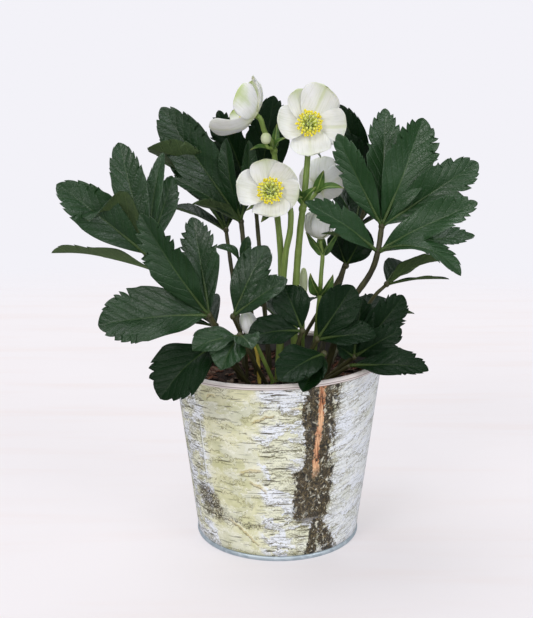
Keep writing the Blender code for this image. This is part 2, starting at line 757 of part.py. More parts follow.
def pot_wall(place):
    low, high = HEM_HEIGHT + SEAT_GAP, POT_HEIGHT - 2 * RIM_BEAD
    bead_middle = wall_radius(high) + 0.3
    bead = [
        (bead_middle + RIM_BEAD * math.cos(a), POT_HEIGHT - RIM_BEAD + RIM_BEAD * math.sin(a))
        for a in [math.radians(angle) for angle in BEAD_ANGLES]
    ]
    middle = (low + high) / 2
    profile = [
        *bead,
        (wall_radius(high), high - 0.6),
        (wall_radius(middle), middle),
        (wall_radius(low), low),
        (wall_radius(low) - WALL_THICK, low),
        (wall_radius(middle) - WALL_THICK, middle),
        (wall_radius(high) - WALL_THICK, high - 0.6),
    ]
    obj = turned("pot_wall", profile, place)
    raise_rim(obj)
    return finished(obj, "bark")


def pot_base(place):
    inner = FOOT_RADIUS - HEM_THICK
    profile = [
        (FOOT_RADIUS - HEM_ROLL, HEM_HEIGHT),
        (FOOT_RADIUS, HEM_HEIGHT - HEM_ROLL),
        (FOOT_RADIUS, HEM_ROLL),
        (FOOT_RADIUS - 0.5, 0.0),
        (inner + 0.4, 0.0),
        (inner, 0.4),
        (inner, DISC_RECESS),
        (0.0, DISC_RECESS),
        (0.0, DISC_RECESS + DISC_THICK),
        (inner + 0.6, DISC_RECESS + DISC_THICK),
        (inner + 0.9, HEM_HEIGHT),
    ]
    return finished(turned("pot_base", profile, place), "zinc", metallic=0.9)


def soil_height(x, y):
    """Lumps on the soil's top, in millimetres above SOIL_TOP."""
    return SOIL_RIPPLE * (math.sin(0.13 * x + 1.0) * math.cos(0.11 * y) - 0.4 * math.sin(0.21 * x - 0.17 * y))


def soil(place, cutters):
    top_radius = wall_radius(SOIL_TOP) - WALL_THICK - SOIL_MARGIN
    low_radius = FOOT_RADIUS - HEM_THICK - SOIL_MARGIN
    rings = [top_radius * share for share in (1.0, 0.55)]
    profile = [(0.0, SOIL_TOP)] + [(radius, SOIL_TOP) for radius in reversed(rings)]
    profile += [(low_radius, SOIL_FLOOR), (0.0, SOIL_FLOOR)]
    obj = turned("soil", profile, place, steps=SOIL_STEPS)
    for vert in obj.data.vertices:
        if vert.co.z > (SOIL_TOP - 1) * MM:
            x, y = vert.co.x / MM, vert.co.y / MM
            vert.co.z += soil_height(x, y) * MM
    roots = [(spec.root, spec.radius) for spec in (*LEAVES.values(), *STEMS.values())]
    for number, ((x, y), radius) in enumerate(roots):
        shape = bmesh.new()
        where = Matrix.Translation(Vector((x, y, HOLE_FLOOR + CUTTER_LENGTH / 2)) * MM)
        wide = (radius + HOLE_CLEARANCE) / math.cos(math.pi / 6) * MM
        bmesh.ops.create_cone(
            shape, cap_ends=True, segments=6, radius1=wide, radius2=wide,
            depth=CUTTER_LENGTH * MM, matrix=where,
        )
        cutter = from_bmesh(f"hole_{number}", shape, cutters)
        cutter.hide_render = True
        cutter.display_type = "WIRE"
    cut = obj.modifiers.new("Stem holes", "BOOLEAN")
    cut.operation = "DIFFERENCE"
    cut.operand_type = "COLLECTION"
    cut.collection = cutters
    return finished(obj, "soil")


def main():
    clear_scene()
    plant = collection("hellebore")
    cutters = collection("cutters", hidden=True)
    pot_wall(plant)
    pot_base(plant)
    soil(plant, cutters)
    for name, spec in LEAVES.items():
        leaf(name, spec, plant)
    for name, spec in STEMS.items():
        flower_stem(name, spec, plant)
    for name, spec in BLOOMS.items():
        bloom_sepals(name, spec, plant)
    for name in OPEN_BLOOMS:
        bloom_stamens(name, BLOOMS[name], plant, 18 if name in SEEN_INTO else 10)
        bloom_carpels(name, BLOOMS[name], plant)
    for name, spec in BUDS.items():
        bud(name, spec, plant)


main()
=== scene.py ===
"""A young hellebore in a tapered metal pot printed with birch bark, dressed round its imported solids.

Millimetres in the tables, metres in the meshes. +Z is up and +Y points away from the side that is seen first.
Every solid is replaced by a finer surface that follows the same design values.
"""

import json
import math
from collections import namedtuple

import bpy
import numpy as np
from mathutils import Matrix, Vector

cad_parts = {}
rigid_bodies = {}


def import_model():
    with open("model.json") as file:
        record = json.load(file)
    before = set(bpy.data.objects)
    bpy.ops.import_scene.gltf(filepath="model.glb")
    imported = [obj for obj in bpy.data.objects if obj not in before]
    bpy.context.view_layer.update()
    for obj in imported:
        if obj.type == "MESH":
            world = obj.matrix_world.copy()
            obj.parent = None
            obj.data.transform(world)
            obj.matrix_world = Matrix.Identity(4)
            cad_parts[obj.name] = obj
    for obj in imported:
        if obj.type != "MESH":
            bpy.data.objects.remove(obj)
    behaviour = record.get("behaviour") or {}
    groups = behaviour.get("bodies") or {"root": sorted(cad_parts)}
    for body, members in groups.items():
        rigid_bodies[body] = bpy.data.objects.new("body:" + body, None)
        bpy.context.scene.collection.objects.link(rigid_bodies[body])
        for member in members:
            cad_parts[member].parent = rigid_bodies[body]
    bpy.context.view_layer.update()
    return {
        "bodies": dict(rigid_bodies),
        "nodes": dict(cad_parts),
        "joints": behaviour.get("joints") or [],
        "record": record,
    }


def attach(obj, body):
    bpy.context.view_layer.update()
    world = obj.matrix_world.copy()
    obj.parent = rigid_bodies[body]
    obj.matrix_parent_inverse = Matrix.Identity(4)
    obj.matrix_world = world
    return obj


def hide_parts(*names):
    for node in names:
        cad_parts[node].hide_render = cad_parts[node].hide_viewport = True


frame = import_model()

MM = 0.001
SEED = 41

# The pot, in millimetres
RIM_RADIUS = 75.0
FOOT_RADIUS = 58.5
POT_HEIGHT = 129.5
RIM_RISE = 3.0
WALL_THICK = 0.9
RIM_BEAD = 2.0
HEM_HEIGHT = 3.6
HEM_THICK = 3.2
HEM_ROLL = 0.6
DISC_RECESS = 1.5
DISC_THICK = 1.0
SEAT_GAP = 0.3
WALL_FOOT_RADIUS = FOOT_RADIUS - HEM_ROLL
WALL_TOP_RADIUS = RIM_RADIUS - RIM_BEAD + 0.5
TURN_STEPS = 240

# The print: millimetres round the wall for a radian, and where the back seam stands
PRINT_RADIUS = 66.0
SEAM_PLACE = 206.7

# The soil
SOIL_TOP = 114.0
SOIL_FLOOR = DISC_RECESS + DISC_THICK + SEAT_GAP
SOIL_RIPPLE = 1.6
SOIL_MARGIN = 0.8
SOIL_ROWS = 64
SOIL_TURNS = 260
SOIL_CHIPS = 620
STEM_FOOT = SOIL_TOP - 11.0
STRAIGHT = 3.5
STALK_STEP = 2.2

# Blades. A blade has no teeth up to the share FIRST_TOOTH plus a random part of FIRST_TOOTH_SPREAD. Pitches,
# spacing, puff and groove are in millimetres, folds in radians, and cuts and waves are shares of the width.
BLADE_THICK = 0.55
BASE_OUT = 1.2
TOOTH_ROWS = 6
PLAIN_ROWS = 20
FIRST_TOOTH = 0.54
FIRST_TOOTH_SPREAD = 0.14
TOOTH_CUT = 0.07
COARSE_CUT = 0.16
TOOTH_PITCH = 15
COARSE_PITCH = 11
VEIN_SPACING = 8.5
VEIN_SLOPE = 1.55
PUFF = 0.2
GROOVE = 0.5
LEAF_WAVE = 0.06
BRACT_WAVE = 0.048
LEAF_FOLD = 0.363
BRACT_FOLD = 0.495
HUB_RADIUS = 2.1
# Leaves whose tone is below this take the blade finish with painted shade
PAINTED_SHADE_TONE = 0.28

# Blooms
PETAL_THICK = 0.45
PETAL_ROLL = 0.17
PETAL_CUP = 0.16
PETAL_ROWS = 27
SEAT_BACK = 0.9
SEAT_FRONT = 1.7
SEAT_RADIUS = 3.4
GOLDEN_ANGLE = math.pi * (3 - math.sqrt(5))
SEEN_STAMENS = 64
OTHER_STAMENS = 40
NECTARIES = 12
CARPELS = 5

# The stage, in metres
FLOOR_RADIUS = 1.25
FLOOR_FADE = 0.75
CAMERA_PLACE = (-0.0081, -0.6517, 0.3018)
CAMERA_DOWN = 0.2104
CAMERA_LENS = 55.34
WORLD_LIGHT = 0.3

Leaflet = namedtuple("Leaflet", "tip width facing bow hub", defaults=(0,))
Leaf = namedtuple("Leaf", "root radius via hubs tone coarse leaflets")
Bract = namedtuple("Bract", "base tip width facing bow")
Stem = namedtuple("Stem", "root radius points carries bracts branches", defaults=((), ()))
Branch = namedtuple("Branch", "radius points carries")
Bloom = namedtuple("Bloom", "seat axis curl sepals")
Sepal = namedtuple("Sepal", "turn length width green", defaults=(0.1,))
Bud = namedtuple("Bud", "middle radii lean")


def leaf_of(root, radius, via, hubs, tone, coarse, *leaflets):
    """A row of the table below, as a leaf."""
    return Leaf(root, radius, via, hubs, tone, coarse, [Leaflet(*row) for row in leaflets])


# Each leaf: where its stalk leaves the soil, the stalk's radius, points it passes, its hubs, how light its
# upper side is, and whether its margins are cut into large teeth. That lightness is partly painted shade: it
# is set low on the leaves that the others shade. Then a row for each leaflet: the tip, the width, the way its
# upper side faces, how far its midrib arches, and its hub where that isn't the first.
LEAVES = {
    "leaf_left_high": leaf_of(
        (-27, -8), 2.2, [(-48, -43, 169)], [(-80, -48, 199), (-85, -47, 208)], 0.45, False,
        ((-137, -64, 255), 29, (-1, -9, 5), 4, 1), ((-147.7, -40, 209), 20, (0, 5, 9), 3),
        ((-114, -86, 235), 31, (0, 7, 5), 20, 1), ((-103, -32, 279), 24, (1, -9, 2), 3, 1),
        ((-76, -20, 272), 14, (-4, -9, 2), 3, 1), ((-71, -10, 256), 17, (4, -9, 2), 2, 1),
    ),
    "leaf_left_low": leaf_of(
        (-24, -20), 2.2, [], [(-45, -54, 170)], 0.3, True,
        ((-85, -74, 238), 29, (-3, -9, 3), 6), ((-56, -42, 232), 26, (2, -9, 2), 3),
        ((-114, -70, 167), 42, (0, -8, 6), 5),
    ),
    "leaf_left_drape": leaf_of(
        (-20, -32), 1.8, [], [(-41, -64, 153)], 0.25, True,
        ((-75, -84, 124), 42, (-2, -7, 7), 4),
    ),
    "leaf_centre_left": leaf_of(
        (-13, -8), 1.7, [], [(-30, -44, 167)], 0.3, False,
        ((-8, -38, 213), 26, (-2, -9, 3), 3), ((5, -55, 194), 19, (-1, -7, 6), 2),
    ),
    "leaf_lobed": leaf_of(
        (-8, -33), 1.5, [], [(-25, -68, 160)], 0.3, False,
        ((-54, -82, 154), 24, (-1, -6, 8), 2), ((-36, -89, 144), 25, (0, -6, 8), 2),
        ((-17, -85, 156), 18, (1, -6, 8), 2),
    ),
    "leaf_front": leaf_of(
        (4, -35), 1.8, [], [(15, -55, 160)], 0.12, False,
        ((3, -46, 188), 26, (0, -9, 4), 3), ((-20, -65, 158), 24, (0, -7, 7), 3),
    ),
    "leaf_front_drape": leaf_of(
        (18, -36), 1.8, [], [(29, -60, 146)], 0.15, False,
        ((-1, -90, 137), 29, (0, -7, 7), 4), ((14, -92, 130), 20, (0, -5, 8), 2),
    ),
    "leaf_mid_right": leaf_of(
        (12, -22), 1.8, [], [(25, -50, 153)], 0.05, False,
        ((48, -46, 188), 28, (1, -9, 4), 3), ((62, -62, 158), 22, (1, -7, 7), 3),
    ),
    "leaf_right_low": leaf_of(
        (34, -18), 2.0, [], [(50, -38, 138)], 0.05, True,
        ((38, -50, 149), 13, (0, -9, 4), 1), ((56, -28, 176), 24, (-1, -9, 3), 2),
        ((84, -24, 177), 27, (2, -9, 3), 3), ((81, -42, 158), 22, (3, -8, 5), 2),
    ),
    "leaf_right_drape": leaf_of(
        (30, -30), 1.7, [], [(47, -48, 135)], 0.15, True,
        ((95, -68, 138), 24, (0, -6, 8), 2),
    ),
    "leaf_right_high": leaf_of(
        (34, -4), 2.4, [(45, -12, 161), (62, -16, 190)], [(67, -17, 206), (70, -10, 222)], 0.7, True,
        ((38, -22, 284), 22, (-3, -9, 2), 3, 1), ((97, -2, 294), 38, (1, -9, 1), 4, 1),
        ((73, 14, 300), 27, (0, -9, 2), 2, 1), ((134, -8, 265), 32, (2, -9, 4), 4, 1),
        ((130, -30, 240), 27, (1, -8, 6), 4), ((117, -50, 196), 24, (2, -5, 8), 12),
        ((17, -42, 242), 22, (-2, -8, 5), 4), ((29, -16, 218), 11, (0, 5, 9), 3),
        ((136, 2, 214), 20, (0, -6, 8), 3),
    ),
    "leaf_back_right": leaf_of(
        (20, 16), 1.8, [(58, 38, 212)], [(66, 28, 252)], 0.1, False,
        ((41, 22, 303), 22, (-3, -8, 5), 4), ((42, 12, 283), 20, (-2, -8, 5), 3),
        ((88, 62, 280), 22, (2, 3, 9), 4),
    ),
    "leaf_right_olive": leaf_of(
        (44, 10), 1.6, [(64, 4, 165)], [(76, 2, 180)], 0.2, False,
        ((112, 8, 196), 22, (0, 6, 8), 3), ((116, -16, 187), 11, (0, 1, 9), 2),
        ((96, 44, 188), 22, (1, 3, 9), 4),
    ),
    "leaf_upper_left": leaf_of(
        (-15, 6), 2.2, [], [(-26, 18, 222)], 0.3, False,
        ((-80, 10, 301), 34, (-2, -9, 4), 4), ((-87, -12, 275), 29, (0, 7, 6), 17),
        ((-76, 26, 270), 24, (0, -9, 2), 2), ((-73, 2, 254), 11, (-5, -6, 6), 6),
        ((-58, -8, 237), 17, (0, 5, 8), 3), ((-36, 6, 280), 15, (-5, -8, 1), 3),
        ((-20, 2, 279), 14, (4, -9, 1), 3),
    ),
    "leaf_top_centre": leaf_of(
        (-6, 18), 1.9, [], [(-16, 38, 232)], 0.2, True,
        ((-3, 30, 309), 33, (1, -9, 1), 3), ((-42, 34, 299), 28, (-2, -9, 1), 3),
        ((-8, 86, 288), 26, (0, 4, 9), 5),
    ),
    "leaf_shade_right": leaf_of(
        (8, 24), 1.6, [], [(49, 20, 190)], 0.0, False,
        ((62, 14, 218), 24, (1, -9, 3), 2), ((41, 30, 213), 17, (-2, -9, 3), 2),
    ),
    "leaf_young": leaf_of(
        (-22, 2), 1.1, [], [(-25, -27, 198)], 0.3, False,
        ((-41, -38, 212), 9, (-2, -6, 8), 5), ((-20, -30, 218), 8, (0, -9, 2), 1),
    ),
    "leaf_rear_left_high": leaf_of(
        (-24, 18), 1.8, [], [(-38, 48, 212)], 0.2, False,
        ((-88, 70, 262), 26, (-3, 3, 9), 4), ((-62, 104, 262), 28, (-2, 5, 9), 5),
        ((-24, 112, 258), 28, (1, 5, 9), 5), ((-92, 88, 225), 24, (-4, 3, 9), 4),
    ),
    "leaf_rear_right_high": leaf_of(
        (30, 24), 1.8, [], [(58, 50, 214)], 0.2, False,
        ((108, 80, 258), 28, (3, 3, 9), 4), ((76, 112, 260), 28, (1, 5, 9), 5),
        ((34, 108, 250), 26, (-2, 5, 9), 5), ((118, 64, 232), 24, (4, 2, 9), 4),
    ),
    "leaf_rear_low_left": leaf_of(
        (-34, 20), 1.7, [], [(-46, 46, 140)], 0.1, False,
        ((-98, 72, 151), 30, (-2, 2, 9), 6), ((-70, 112, 148), 30, (-1, 4, 9), 6),
        ((-104, 36, 138), 26, (-3, 0, 9), 5),
    ),
    "leaf_rear_low_middle": leaf_of(
        (0, 36), 1.7, [], [(2, 62, 140)], 0.0, False,
        ((-32, 118, 146), 30, (-1, 3, 9), 6), ((8, 132, 142), 30, (0, 4, 9), 7),
        ((42, 112, 147), 28, (1, 3, 9), 6),
    ),
    "leaf_rear_low_right": leaf_of(
        (40, 26), 1.7, [], [(54, 46, 138)], 0.1, False,
        ((92, 90, 150), 30, (2, 3, 9), 6), ((104, 52, 148), 26, (2, 1, 9), 5),
        ((62, 100, 136), 26, (1, 3, 9), 5),
    ),
}

# Flower stems: root, radius, points on the way, the bloom or bud they carry, then bracts and side branches. A
# bract's row holds its base, tip, width, the way it faces and how far it arches.
STEMS = {
    "flower_stem_left": Stem(
        (2, 6), 2.2, [(2, 3, 195), (-1, 3, 232), (-3, 1, 272), (-9, 2, 284)], "bloom_left", [
            ((-3, 1, 273), (-19, -3, 273), 7, (-1, -4, 9), 2),
            ((-3, 1, 273), (5, -5, 281), 6, (0, -6, 8), 2), ((-3, 1, 273), (-1, 7, 290), 6, (1, -9, 0), 1),
        ], [Branch(1.2, [(-3, 1, 272), (-6, -6, 274.5)], "bud_round")],
    ),
    "flower_stem_front": Stem(
        (0, -12), 2.3, [(4, -12, 195), (8, -11, 220), (7, -8, 236)], "bloom_front", [
            ((5, -8, 240), (-22, -9, 233), 9, (-1, -5, 8), 2),
            ((5, -8, 239), (-12, -9, 225), 10, (0, -7, 7), 2),
            ((6, -8, 237), (16, -13, 242), 8, (1, -6, 8), 2),
        ],
    ),
    "flower_stem_right": Stem(
        (11, -3), 2.4, [(12, -4, 175), (15, -4, 219), (17.5, -2, 240), (20, 2, 270)], "bloom_right", [
            ((17, -3, 238), (25, -12, 249), 8, (1, -8, 5), 2),
            ((17, -3, 236), (11, -5, 251), 6, (-2, -8, 4), 1),
            ((20, 2, 272), (29, 8, 267), 8, (2, -4, 8), 2), ((26, 6, 243), (31, 3, 259), 8, (0, -9, 1), 1),
            ((26, 6, 243), (45, 0, 247), 8, (1, -6, 7), 4),
        ], [Branch(1.6, [(16.5, -3, 233), (22, 2, 239), (26, 6, 243)], "bloom_rear")],
    ),
    "flower_stem_half_open": Stem(
        (25, 3), 1.7, [(29, 0, 171), (30, 0, 188), (31, 4, 200)], "bloom_half_open", [
            ((31, 4, 200), (19, 4, 216), 8, (-8, -5, 2), -1),
            ((31, 4, 200), (42, 4, 216), 8, (8, -5, 2), -1),
            ((31, 4, 200), (30, 18, 215), 8, (0, 9, 2), -1),
            ((29, 0, 172), (22, -6, 189), 9, (-5, -8, 2), 2),
            ((29, 0, 172), (38, -4, 188), 9, (5, -8, 2), 2),
        ],
    ),
    "bud_stalk_slim": Stem((18, 8), 1.2, [(18, 7, 150)], "bud_slim"),
    "bud_stalk_low": Stem((-4, -22), 1.4, [(-12, -29, 138)], "bud_low"),
    "dried_stalk": Stem(
        (-13, -25), 1.2, [(-15, -26, 140), (-24, -28, 165), (-25, -31, 178), (-5, -32, 203)], None,
    ),
}

# Blooms: the seat, the way the bloom faces, and the curl in radians. Then a row for each sepal: its turn in
# degrees, length, width, and how green it is where that isn't the usual tenth.
BLOOMS = {
    "bloom_front": Bloom((-5, -14, 245.5), (-1, -9.5, 2.5), 0.95, [
        (100, 24, 23, 0.5), (46, 23, 21), (-14, 23, 22, 0.3), (-86, 21, 26), (172, 26, 25),
    ]),
    "bloom_right": Bloom((20, -5.5, 289), (0.5, -9.5, 2.8), 0.8, [
        (64, 29, 27, 0.4), (112, 26, 17, 0.5), (176, 24, 24), (-88, 25, 27), (-8, 27, 24),
    ]),
    "bloom_left": Bloom((-15.5, 0.5, 296), (-7, 1.4, 4.7), 1.35, [
        (102, 28.4, 18), (148, 33.4, 17, 1.0), (24, 27, 22, 0.9), (200, 32, 18, 0.9), (-64, 35, 24, 0.0),
    ]),
    "bloom_rear": Bloom((29, 11, 247.5), (2, 9, 3), 1.2, [
        (90, 22, 21), (18, 21, 20), (-54, 21, 21), (-126, 20, 20), (162, 22, 20),
    ]),
    "bloom_half_open": Bloom((29.5, 6.5, 212), (-0.3, 0.5, 9), 2.4, [
        (18, 25, 13), (90, 25, 13), (162, 25, 13), (234, 25, 13), (306, 25, 13),
    ]),
}
SEEN_INTO = ("bloom_front", "bloom_right")
OPEN_BLOOMS = (*SEEN_INTO, "bloom_left", "bloom_rear")

# Buds: the middle, the three radii, and the lean in degrees about +Y and then about +X
BUDS = {
    "bud_round": Bud((-8.4, -5.6, 280.6), (3.7, 3.7, 3.9), (0, 0)),
    "bud_slim": Bud((18, 5.4, 180.6), (3.0, 3.0, 10.5), (0, 3)),
    "bud_low": Bud((-20, -34.4, 160.2), (6.2, 6.2, 8.2), (-18, 4)),
}


def operator(operation, swapped=False):
    """A method that adds a Math node, in which the value itself comes last where swapped."""

    def method(value, *others):
        values = (*others, value) if swapped else (value, *others)
        return value.tree.add("Math", {"operation": operation}, *values)

    return method


class Value:
    """A socket's value in a node tree. Its operators and methods add their nodes."""

    def __init__(self, tree, socket):
        self.tree = tree
        self.socket = socket

    __add__, __radd__ = operator("ADD"), operator("ADD", True)
    __sub__, __rsub__ = operator("SUBTRACT"), operator("SUBTRACT", True)
    __mul__, __rmul__ = operator("MULTIPLY"), operator("MULTIPLY", True)
    __truediv__ = operator("DIVIDE")
    __abs__ = operator("ABSOLUTE")
    root = operator("SQRT")
    fraction = operator("FRACT")
    angle = operator("ARCTAN2")
    most = operator("MAXIMUM")
    least = operator("MINIMUM")
    above = operator("GREATER_THAN")

    def step(self, low, high):
        """A smooth step from 0 at low to 1 at high, or down again where high is below low."""
        settings = {"interpolation_type": "SMOOTHSTEP"}
        return self.tree.add("MapRange", settings, self, low, high, 0.0, 1.0)


def seen(red, green, blue):
    """A colour as it is seen, 0 to 255, as the linear values that a shader takes."""
    parts = []
    for value in (red, green, blue):
        share = value / 255
        parts.append(share / 12.92 if share <= 0.04045 else ((share + 0.055) / 1.055) ** 2.4)
    return (*parts, 1.0)


class Finish:
    """One material: its nodes are added through one method, and it ends in a Principled shader."""

    def __init__(self, name):
        self.material = bpy.data.materials.new(name)
        self.material.use_nodes = True
        self.nodes = self.material.node_tree.nodes
        self.links = self.material.node_tree.links
        self.shader = self.nodes["Principled BSDF"]

    def add(self, kind, settings, *values, out=0, **named):
        """Adds a node: settings first, then values or links for its sockets in order or by name."""
        node = self.nodes.new("ShaderNode" + kind)
        for key, value in settings.items():
            setattr(node, key, value)
        sockets = [socket for socket in node.inputs if socket.enabled]
        for socket, value in zip(sockets, values):
            self.put(socket, value)
        for key, value in named.items():
            self.put(node.inputs[key], value)
        outs = [socket for socket in node.outputs if socket.enabled]
        return Value(self, outs[out] if isinstance(out, int) else node.outputs[out])

    def put(self, socket, value):
        if isinstance(value, Value):
            self.links.new(value.socket, socket)
        elif value is not None:
            socket.default_value = value

    def point(self, scale=(1, 1, 1)):
        """The place on the object in metres, each axis times its scale."""
        place = self.add("TexCoord", {}, out="Object")
        return self.add("VectorMath", {"operation": "MULTIPLY"}, place, scale)

    def parts(self, vector):
        return [self.add("SeparateXYZ", {}, vector, out=axis) for axis in range(3)]

    def reads(self, name):
        """The three numbers that the mesh keeps under this name at each corner."""
        settings = {"attribute_type": "GEOMETRY", "attribute_name": name}
        return self.parts(self.add("Attribute", settings, out="Vector"))

    def vector(self, x, y, z=0.0):
        return self.add("CombineXYZ", {}, x, y, z)

    def noise(self, place, scale=1.0, detail=3.0, rough=0.5, bend=0.0):
        """Noise from 0 to 1 at a place, which is a vector or its two or three parts."""
        vector = self.vector(*place) if isinstance(place, tuple) else place
        values = {"Vector": vector, "Scale": scale, "Detail": detail, "Roughness": rough, "Distortion": bend}
        return self.add("TexNoise", {}, out="Fac", **values)

    def cells(self, vector, scale=1.0, out="Distance", feature="F1", dimensions="3D", distance="EUCLIDEAN"):
        settings = {"feature": feature, "voronoi_dimensions": dimensions, "distance": distance}
        return self.add("TexVoronoi", settings, Vector=vector, Scale=scale, out=out)

    def mix(self, share, first, second):
        """A colour between two. Either is a value, or red, green and blue as they are seen."""
        colours = [seen(*colour) if isinstance(colour, tuple) else colour for colour in (first, second)]
        return self.add("Mix", {"data_type": "RGBA"}, share, *colours)

    def layers(self, colour, *laid):
        """Lays tints over a colour one by one, each given as its share and itself."""
        for share, tint in laid:
            colour = self.mix(share, colour, tint)
        return colour

    def bump(self, height, depth, strength):
        return self.add("Bump", {}, Height=height, Distance=depth, Strength=strength)

    def done(self, colour, roughness, normal=None, **fixed):
        """Feeds the shader. Gives the material."""
        for key, value in {"Base_Color": colour, "Roughness": roughness, "Normal": normal, **fixed}.items():
            self.put(self.shader.inputs[key.replace("_", " ")], value)
        return self.material


def leaf_finish(name="leaf blade", shade=0.0, gloss=0.5):
    """Leathery dark green: a soft midrib, faint side veins, a fine net between them, a dull olive underside,
    and a painted sheen in bluish grey streaks.

    Its second argument darkens it with painted shade, for the leaves that grow low between the others,
    where the upper leaves shade them.
    """
    look = Finish(name)
    across, along, share = look.reads("where")
    under, tone, rib = look.reads("look")
    point = look.point()
    wobble = look.noise(point, 130.0) - 0.5
    veins = (along - VEIN_SLOPE * abs(across) + 3.0 * wobble) / VEIN_SPACING + 0.5 * across.above(0.0)
    side_vein = abs(veins.fraction() - 0.5).step(0.1, 0.01) * abs(across).step(0.3, 1.6)
    middle = abs(across) / (1.0 - 0.75 * share)
    midrib = middle.step(1.0, 0.2).most(rib) * (1.1 - share).least(1.0)
    net = look.cells(point, 480.0, feature="DISTANCE_TO_EDGE").step(0.12, 0.0)
    patches = look.noise(point, 48.0, 4.0, 0.65)
    streak = look.noise((veins * 1.6, across * 0.09, tone * 8.0), 1.0, 4.0, 0.65)
    fine = look.noise(point, 1100.0, 2.0)
    green = look.layers(
        look.mix(patches.step(0.3, 0.75), (12, 34, 13), (24, 54, 22)),
        # The tone lightens the green: each leaf's own lightness, and partly painted shade where it is set low
        (0.8 * tone, (42, 80, 40)),
        # Bluish grey streaks that run with the side veins: a painted sheen
        (0.4 * streak.step(0.5, 0.8), (58, 90, 62)),
        (0.2 * net, (48, 78, 44)),
        (0.1 * side_vein, (84, 112, 62)),
        # Painted shade laid over the upper side of the leaves that grow low between the others
        (shade, (10, 31, 12)),
        ((0.55 - 0.3 * shade) * midrib, (88, 112, 54)),
    )
    dull = look.layers(
        look.mix(patches, (42, 62, 34), (64, 86, 46)),
        (0.5 * tone, (94, 116, 62)),
        (0.25 * net, (88, 108, 56)),
        (0.2 * side_vein, (108, 130, 70)),
        (0.6 * midrib, (128, 146, 70)),
    )
    rough = 0.24 + 0.12 * patches + 0.1 * streak + 0.3 * under
    height = 0.12 * fine + 1.6 * patches + 0.3 * streak - 0.2 * net - 0.5 * side_vein
    normal = look.bump(height, 0.001, 0.5)
    return look.done(look.mix(under, green, dull), rough, normal, IOR=1.5, Specular_IOR_Level=gloss)


def streaked_finish(name, dark, light, spot, spots=0.3, rough=0.5):
    """A stalk's skin: fine streaks that run along it, soft blotches, and a few darker spots."""
    look = Finish(name)
    around, along, share = look.reads("where")
    point = look.point()
    streaks = look.noise((around * 0.9, along * 0.06, share), 1.0, 4.0, 0.6)
    blotches = look.noise(point, 90.0)
    marks = look.cells(look.point((1, 1, 0.5)), 420.0).step(0.3, 0.12)
    marks = marks * look.noise(point, 60.0).step(0.5, 0.65)
    colour = look.mix((0.55 * streaks + 0.45 * blotches).step(0.25, 0.75), dark, light)
    normal = look.bump(streaks + 0.4 * blotches, 0.0002, 0.5)
    return look.done(look.mix(spots * marks, colour, spot), rough + 0.12 * blotches, normal)


def bract_finish():
    """Thin fresh-green bracts with parallel veins, paler along the middle."""
    look = Finish("bract")
    across, along, share = look.reads("where")
    _, tone, rib = look.reads("look")
    veins = look.noise((across * 1.5, along * 0.12, tone * 7.0))
    soft = look.noise(look.point(), 160.0)
    colour = look.layers(
        look.mix(soft.step(0.3, 0.7), (44, 78, 28), (82, 118, 48)),
        (veins.step(0.5, 0.75) * 0.5, (122, 148, 76)),
        (abs(across).step(0.6, 0.1).most(rib) * 0.6, (160, 180, 100)),
        (share.step(0.75, 1.0) * 0.35, (128, 104, 60)),
    )
    normal = look.bump(veins + 0.5 * soft, 0.0002, 0.5)
    return look.done(colour, 0.48 + 0.1 * soft, normal, Specular_IOR_Level=0.4)


def petal_finish(name="sepal", body=0.0):
    """Cream-white sepals with faint long veins, and green that gathers at the tip, the rim and the middle.
    Towards the base they turn pale green, partly their own colour and partly painted shade deep in the cup.

    body turns the whole sepal green, as on a closed bud.
    """
    look = Finish(name)
    across, along, share = look.reads("where")
    _, tone, green = look.reads("look")
    veins = look.noise((across * 1.1, along * 0.07, tone * 9.0), 1.0, 3.0, 0.6)
    soft = look.noise(look.point(), 110.0)
    middle = abs(across).step(1.8, 0.2) * share.step(0.15, 0.6)
    tip = (share + 0.2 * (soft - 0.5)).step(0.86, 1.02)
    patch = green * (share + 0.7 * (soft - 0.5) - 0.05 * abs(across)).step(0.35, 0.95)
    colour = look.layers(
        look.mix(soft.step(0.3, 0.7), (238, 239, 234), (247, 247, 246)),
        (0.45 * veins.step(0.45, 0.68), (216, 218, 204)),
        (body, (204, 214, 160)),
        (0.4 * middle * tone.step(0.4, 0.9), (206, 214, 160)),
        # Pale green towards the base: partly the sepal's own green, partly painted shade deep in the cup
        (share.step(0.36, 0.04) * 0.85, (206, 212, 156)),
        ((0.15 + 0.6 * green) * tip, (196, 206, 140)),
        (0.85 * patch, (180, 200, 122)),
    )
    return look.done(
        colour, 0.5 + 0.12 * soft, look.bump(veins + 0.4 * soft, 0.0003, 0.7),
        Specular_IOR_Level=0.3, Subsurface_Weight=0.15, Subsurface_Radius=(1.0, 0.9, 0.6),
        Subsurface_Scale=0.0015,
    )


def grain_finish(name, dark, light, pale):
    """Small soft organs that scatter light: a fine grain, turned pale where the mesh's tone says so."""
    look = Finish(name)
    _, tone, _ = look.reads("look")
    grain = look.noise(look.point(), 900.0)
    colour = look.mix(tone, look.mix(grain.step(0.3, 0.7), dark, light), pale)
    return look.done(
        colour, 0.6 + 0.1 * grain, look.bump(grain, 0.00012, 0.5),
        Subsurface_Weight=0.6, Subsurface_Radius=(1.0, 0.95, 0.4), Subsurface_Scale=0.002,
    )


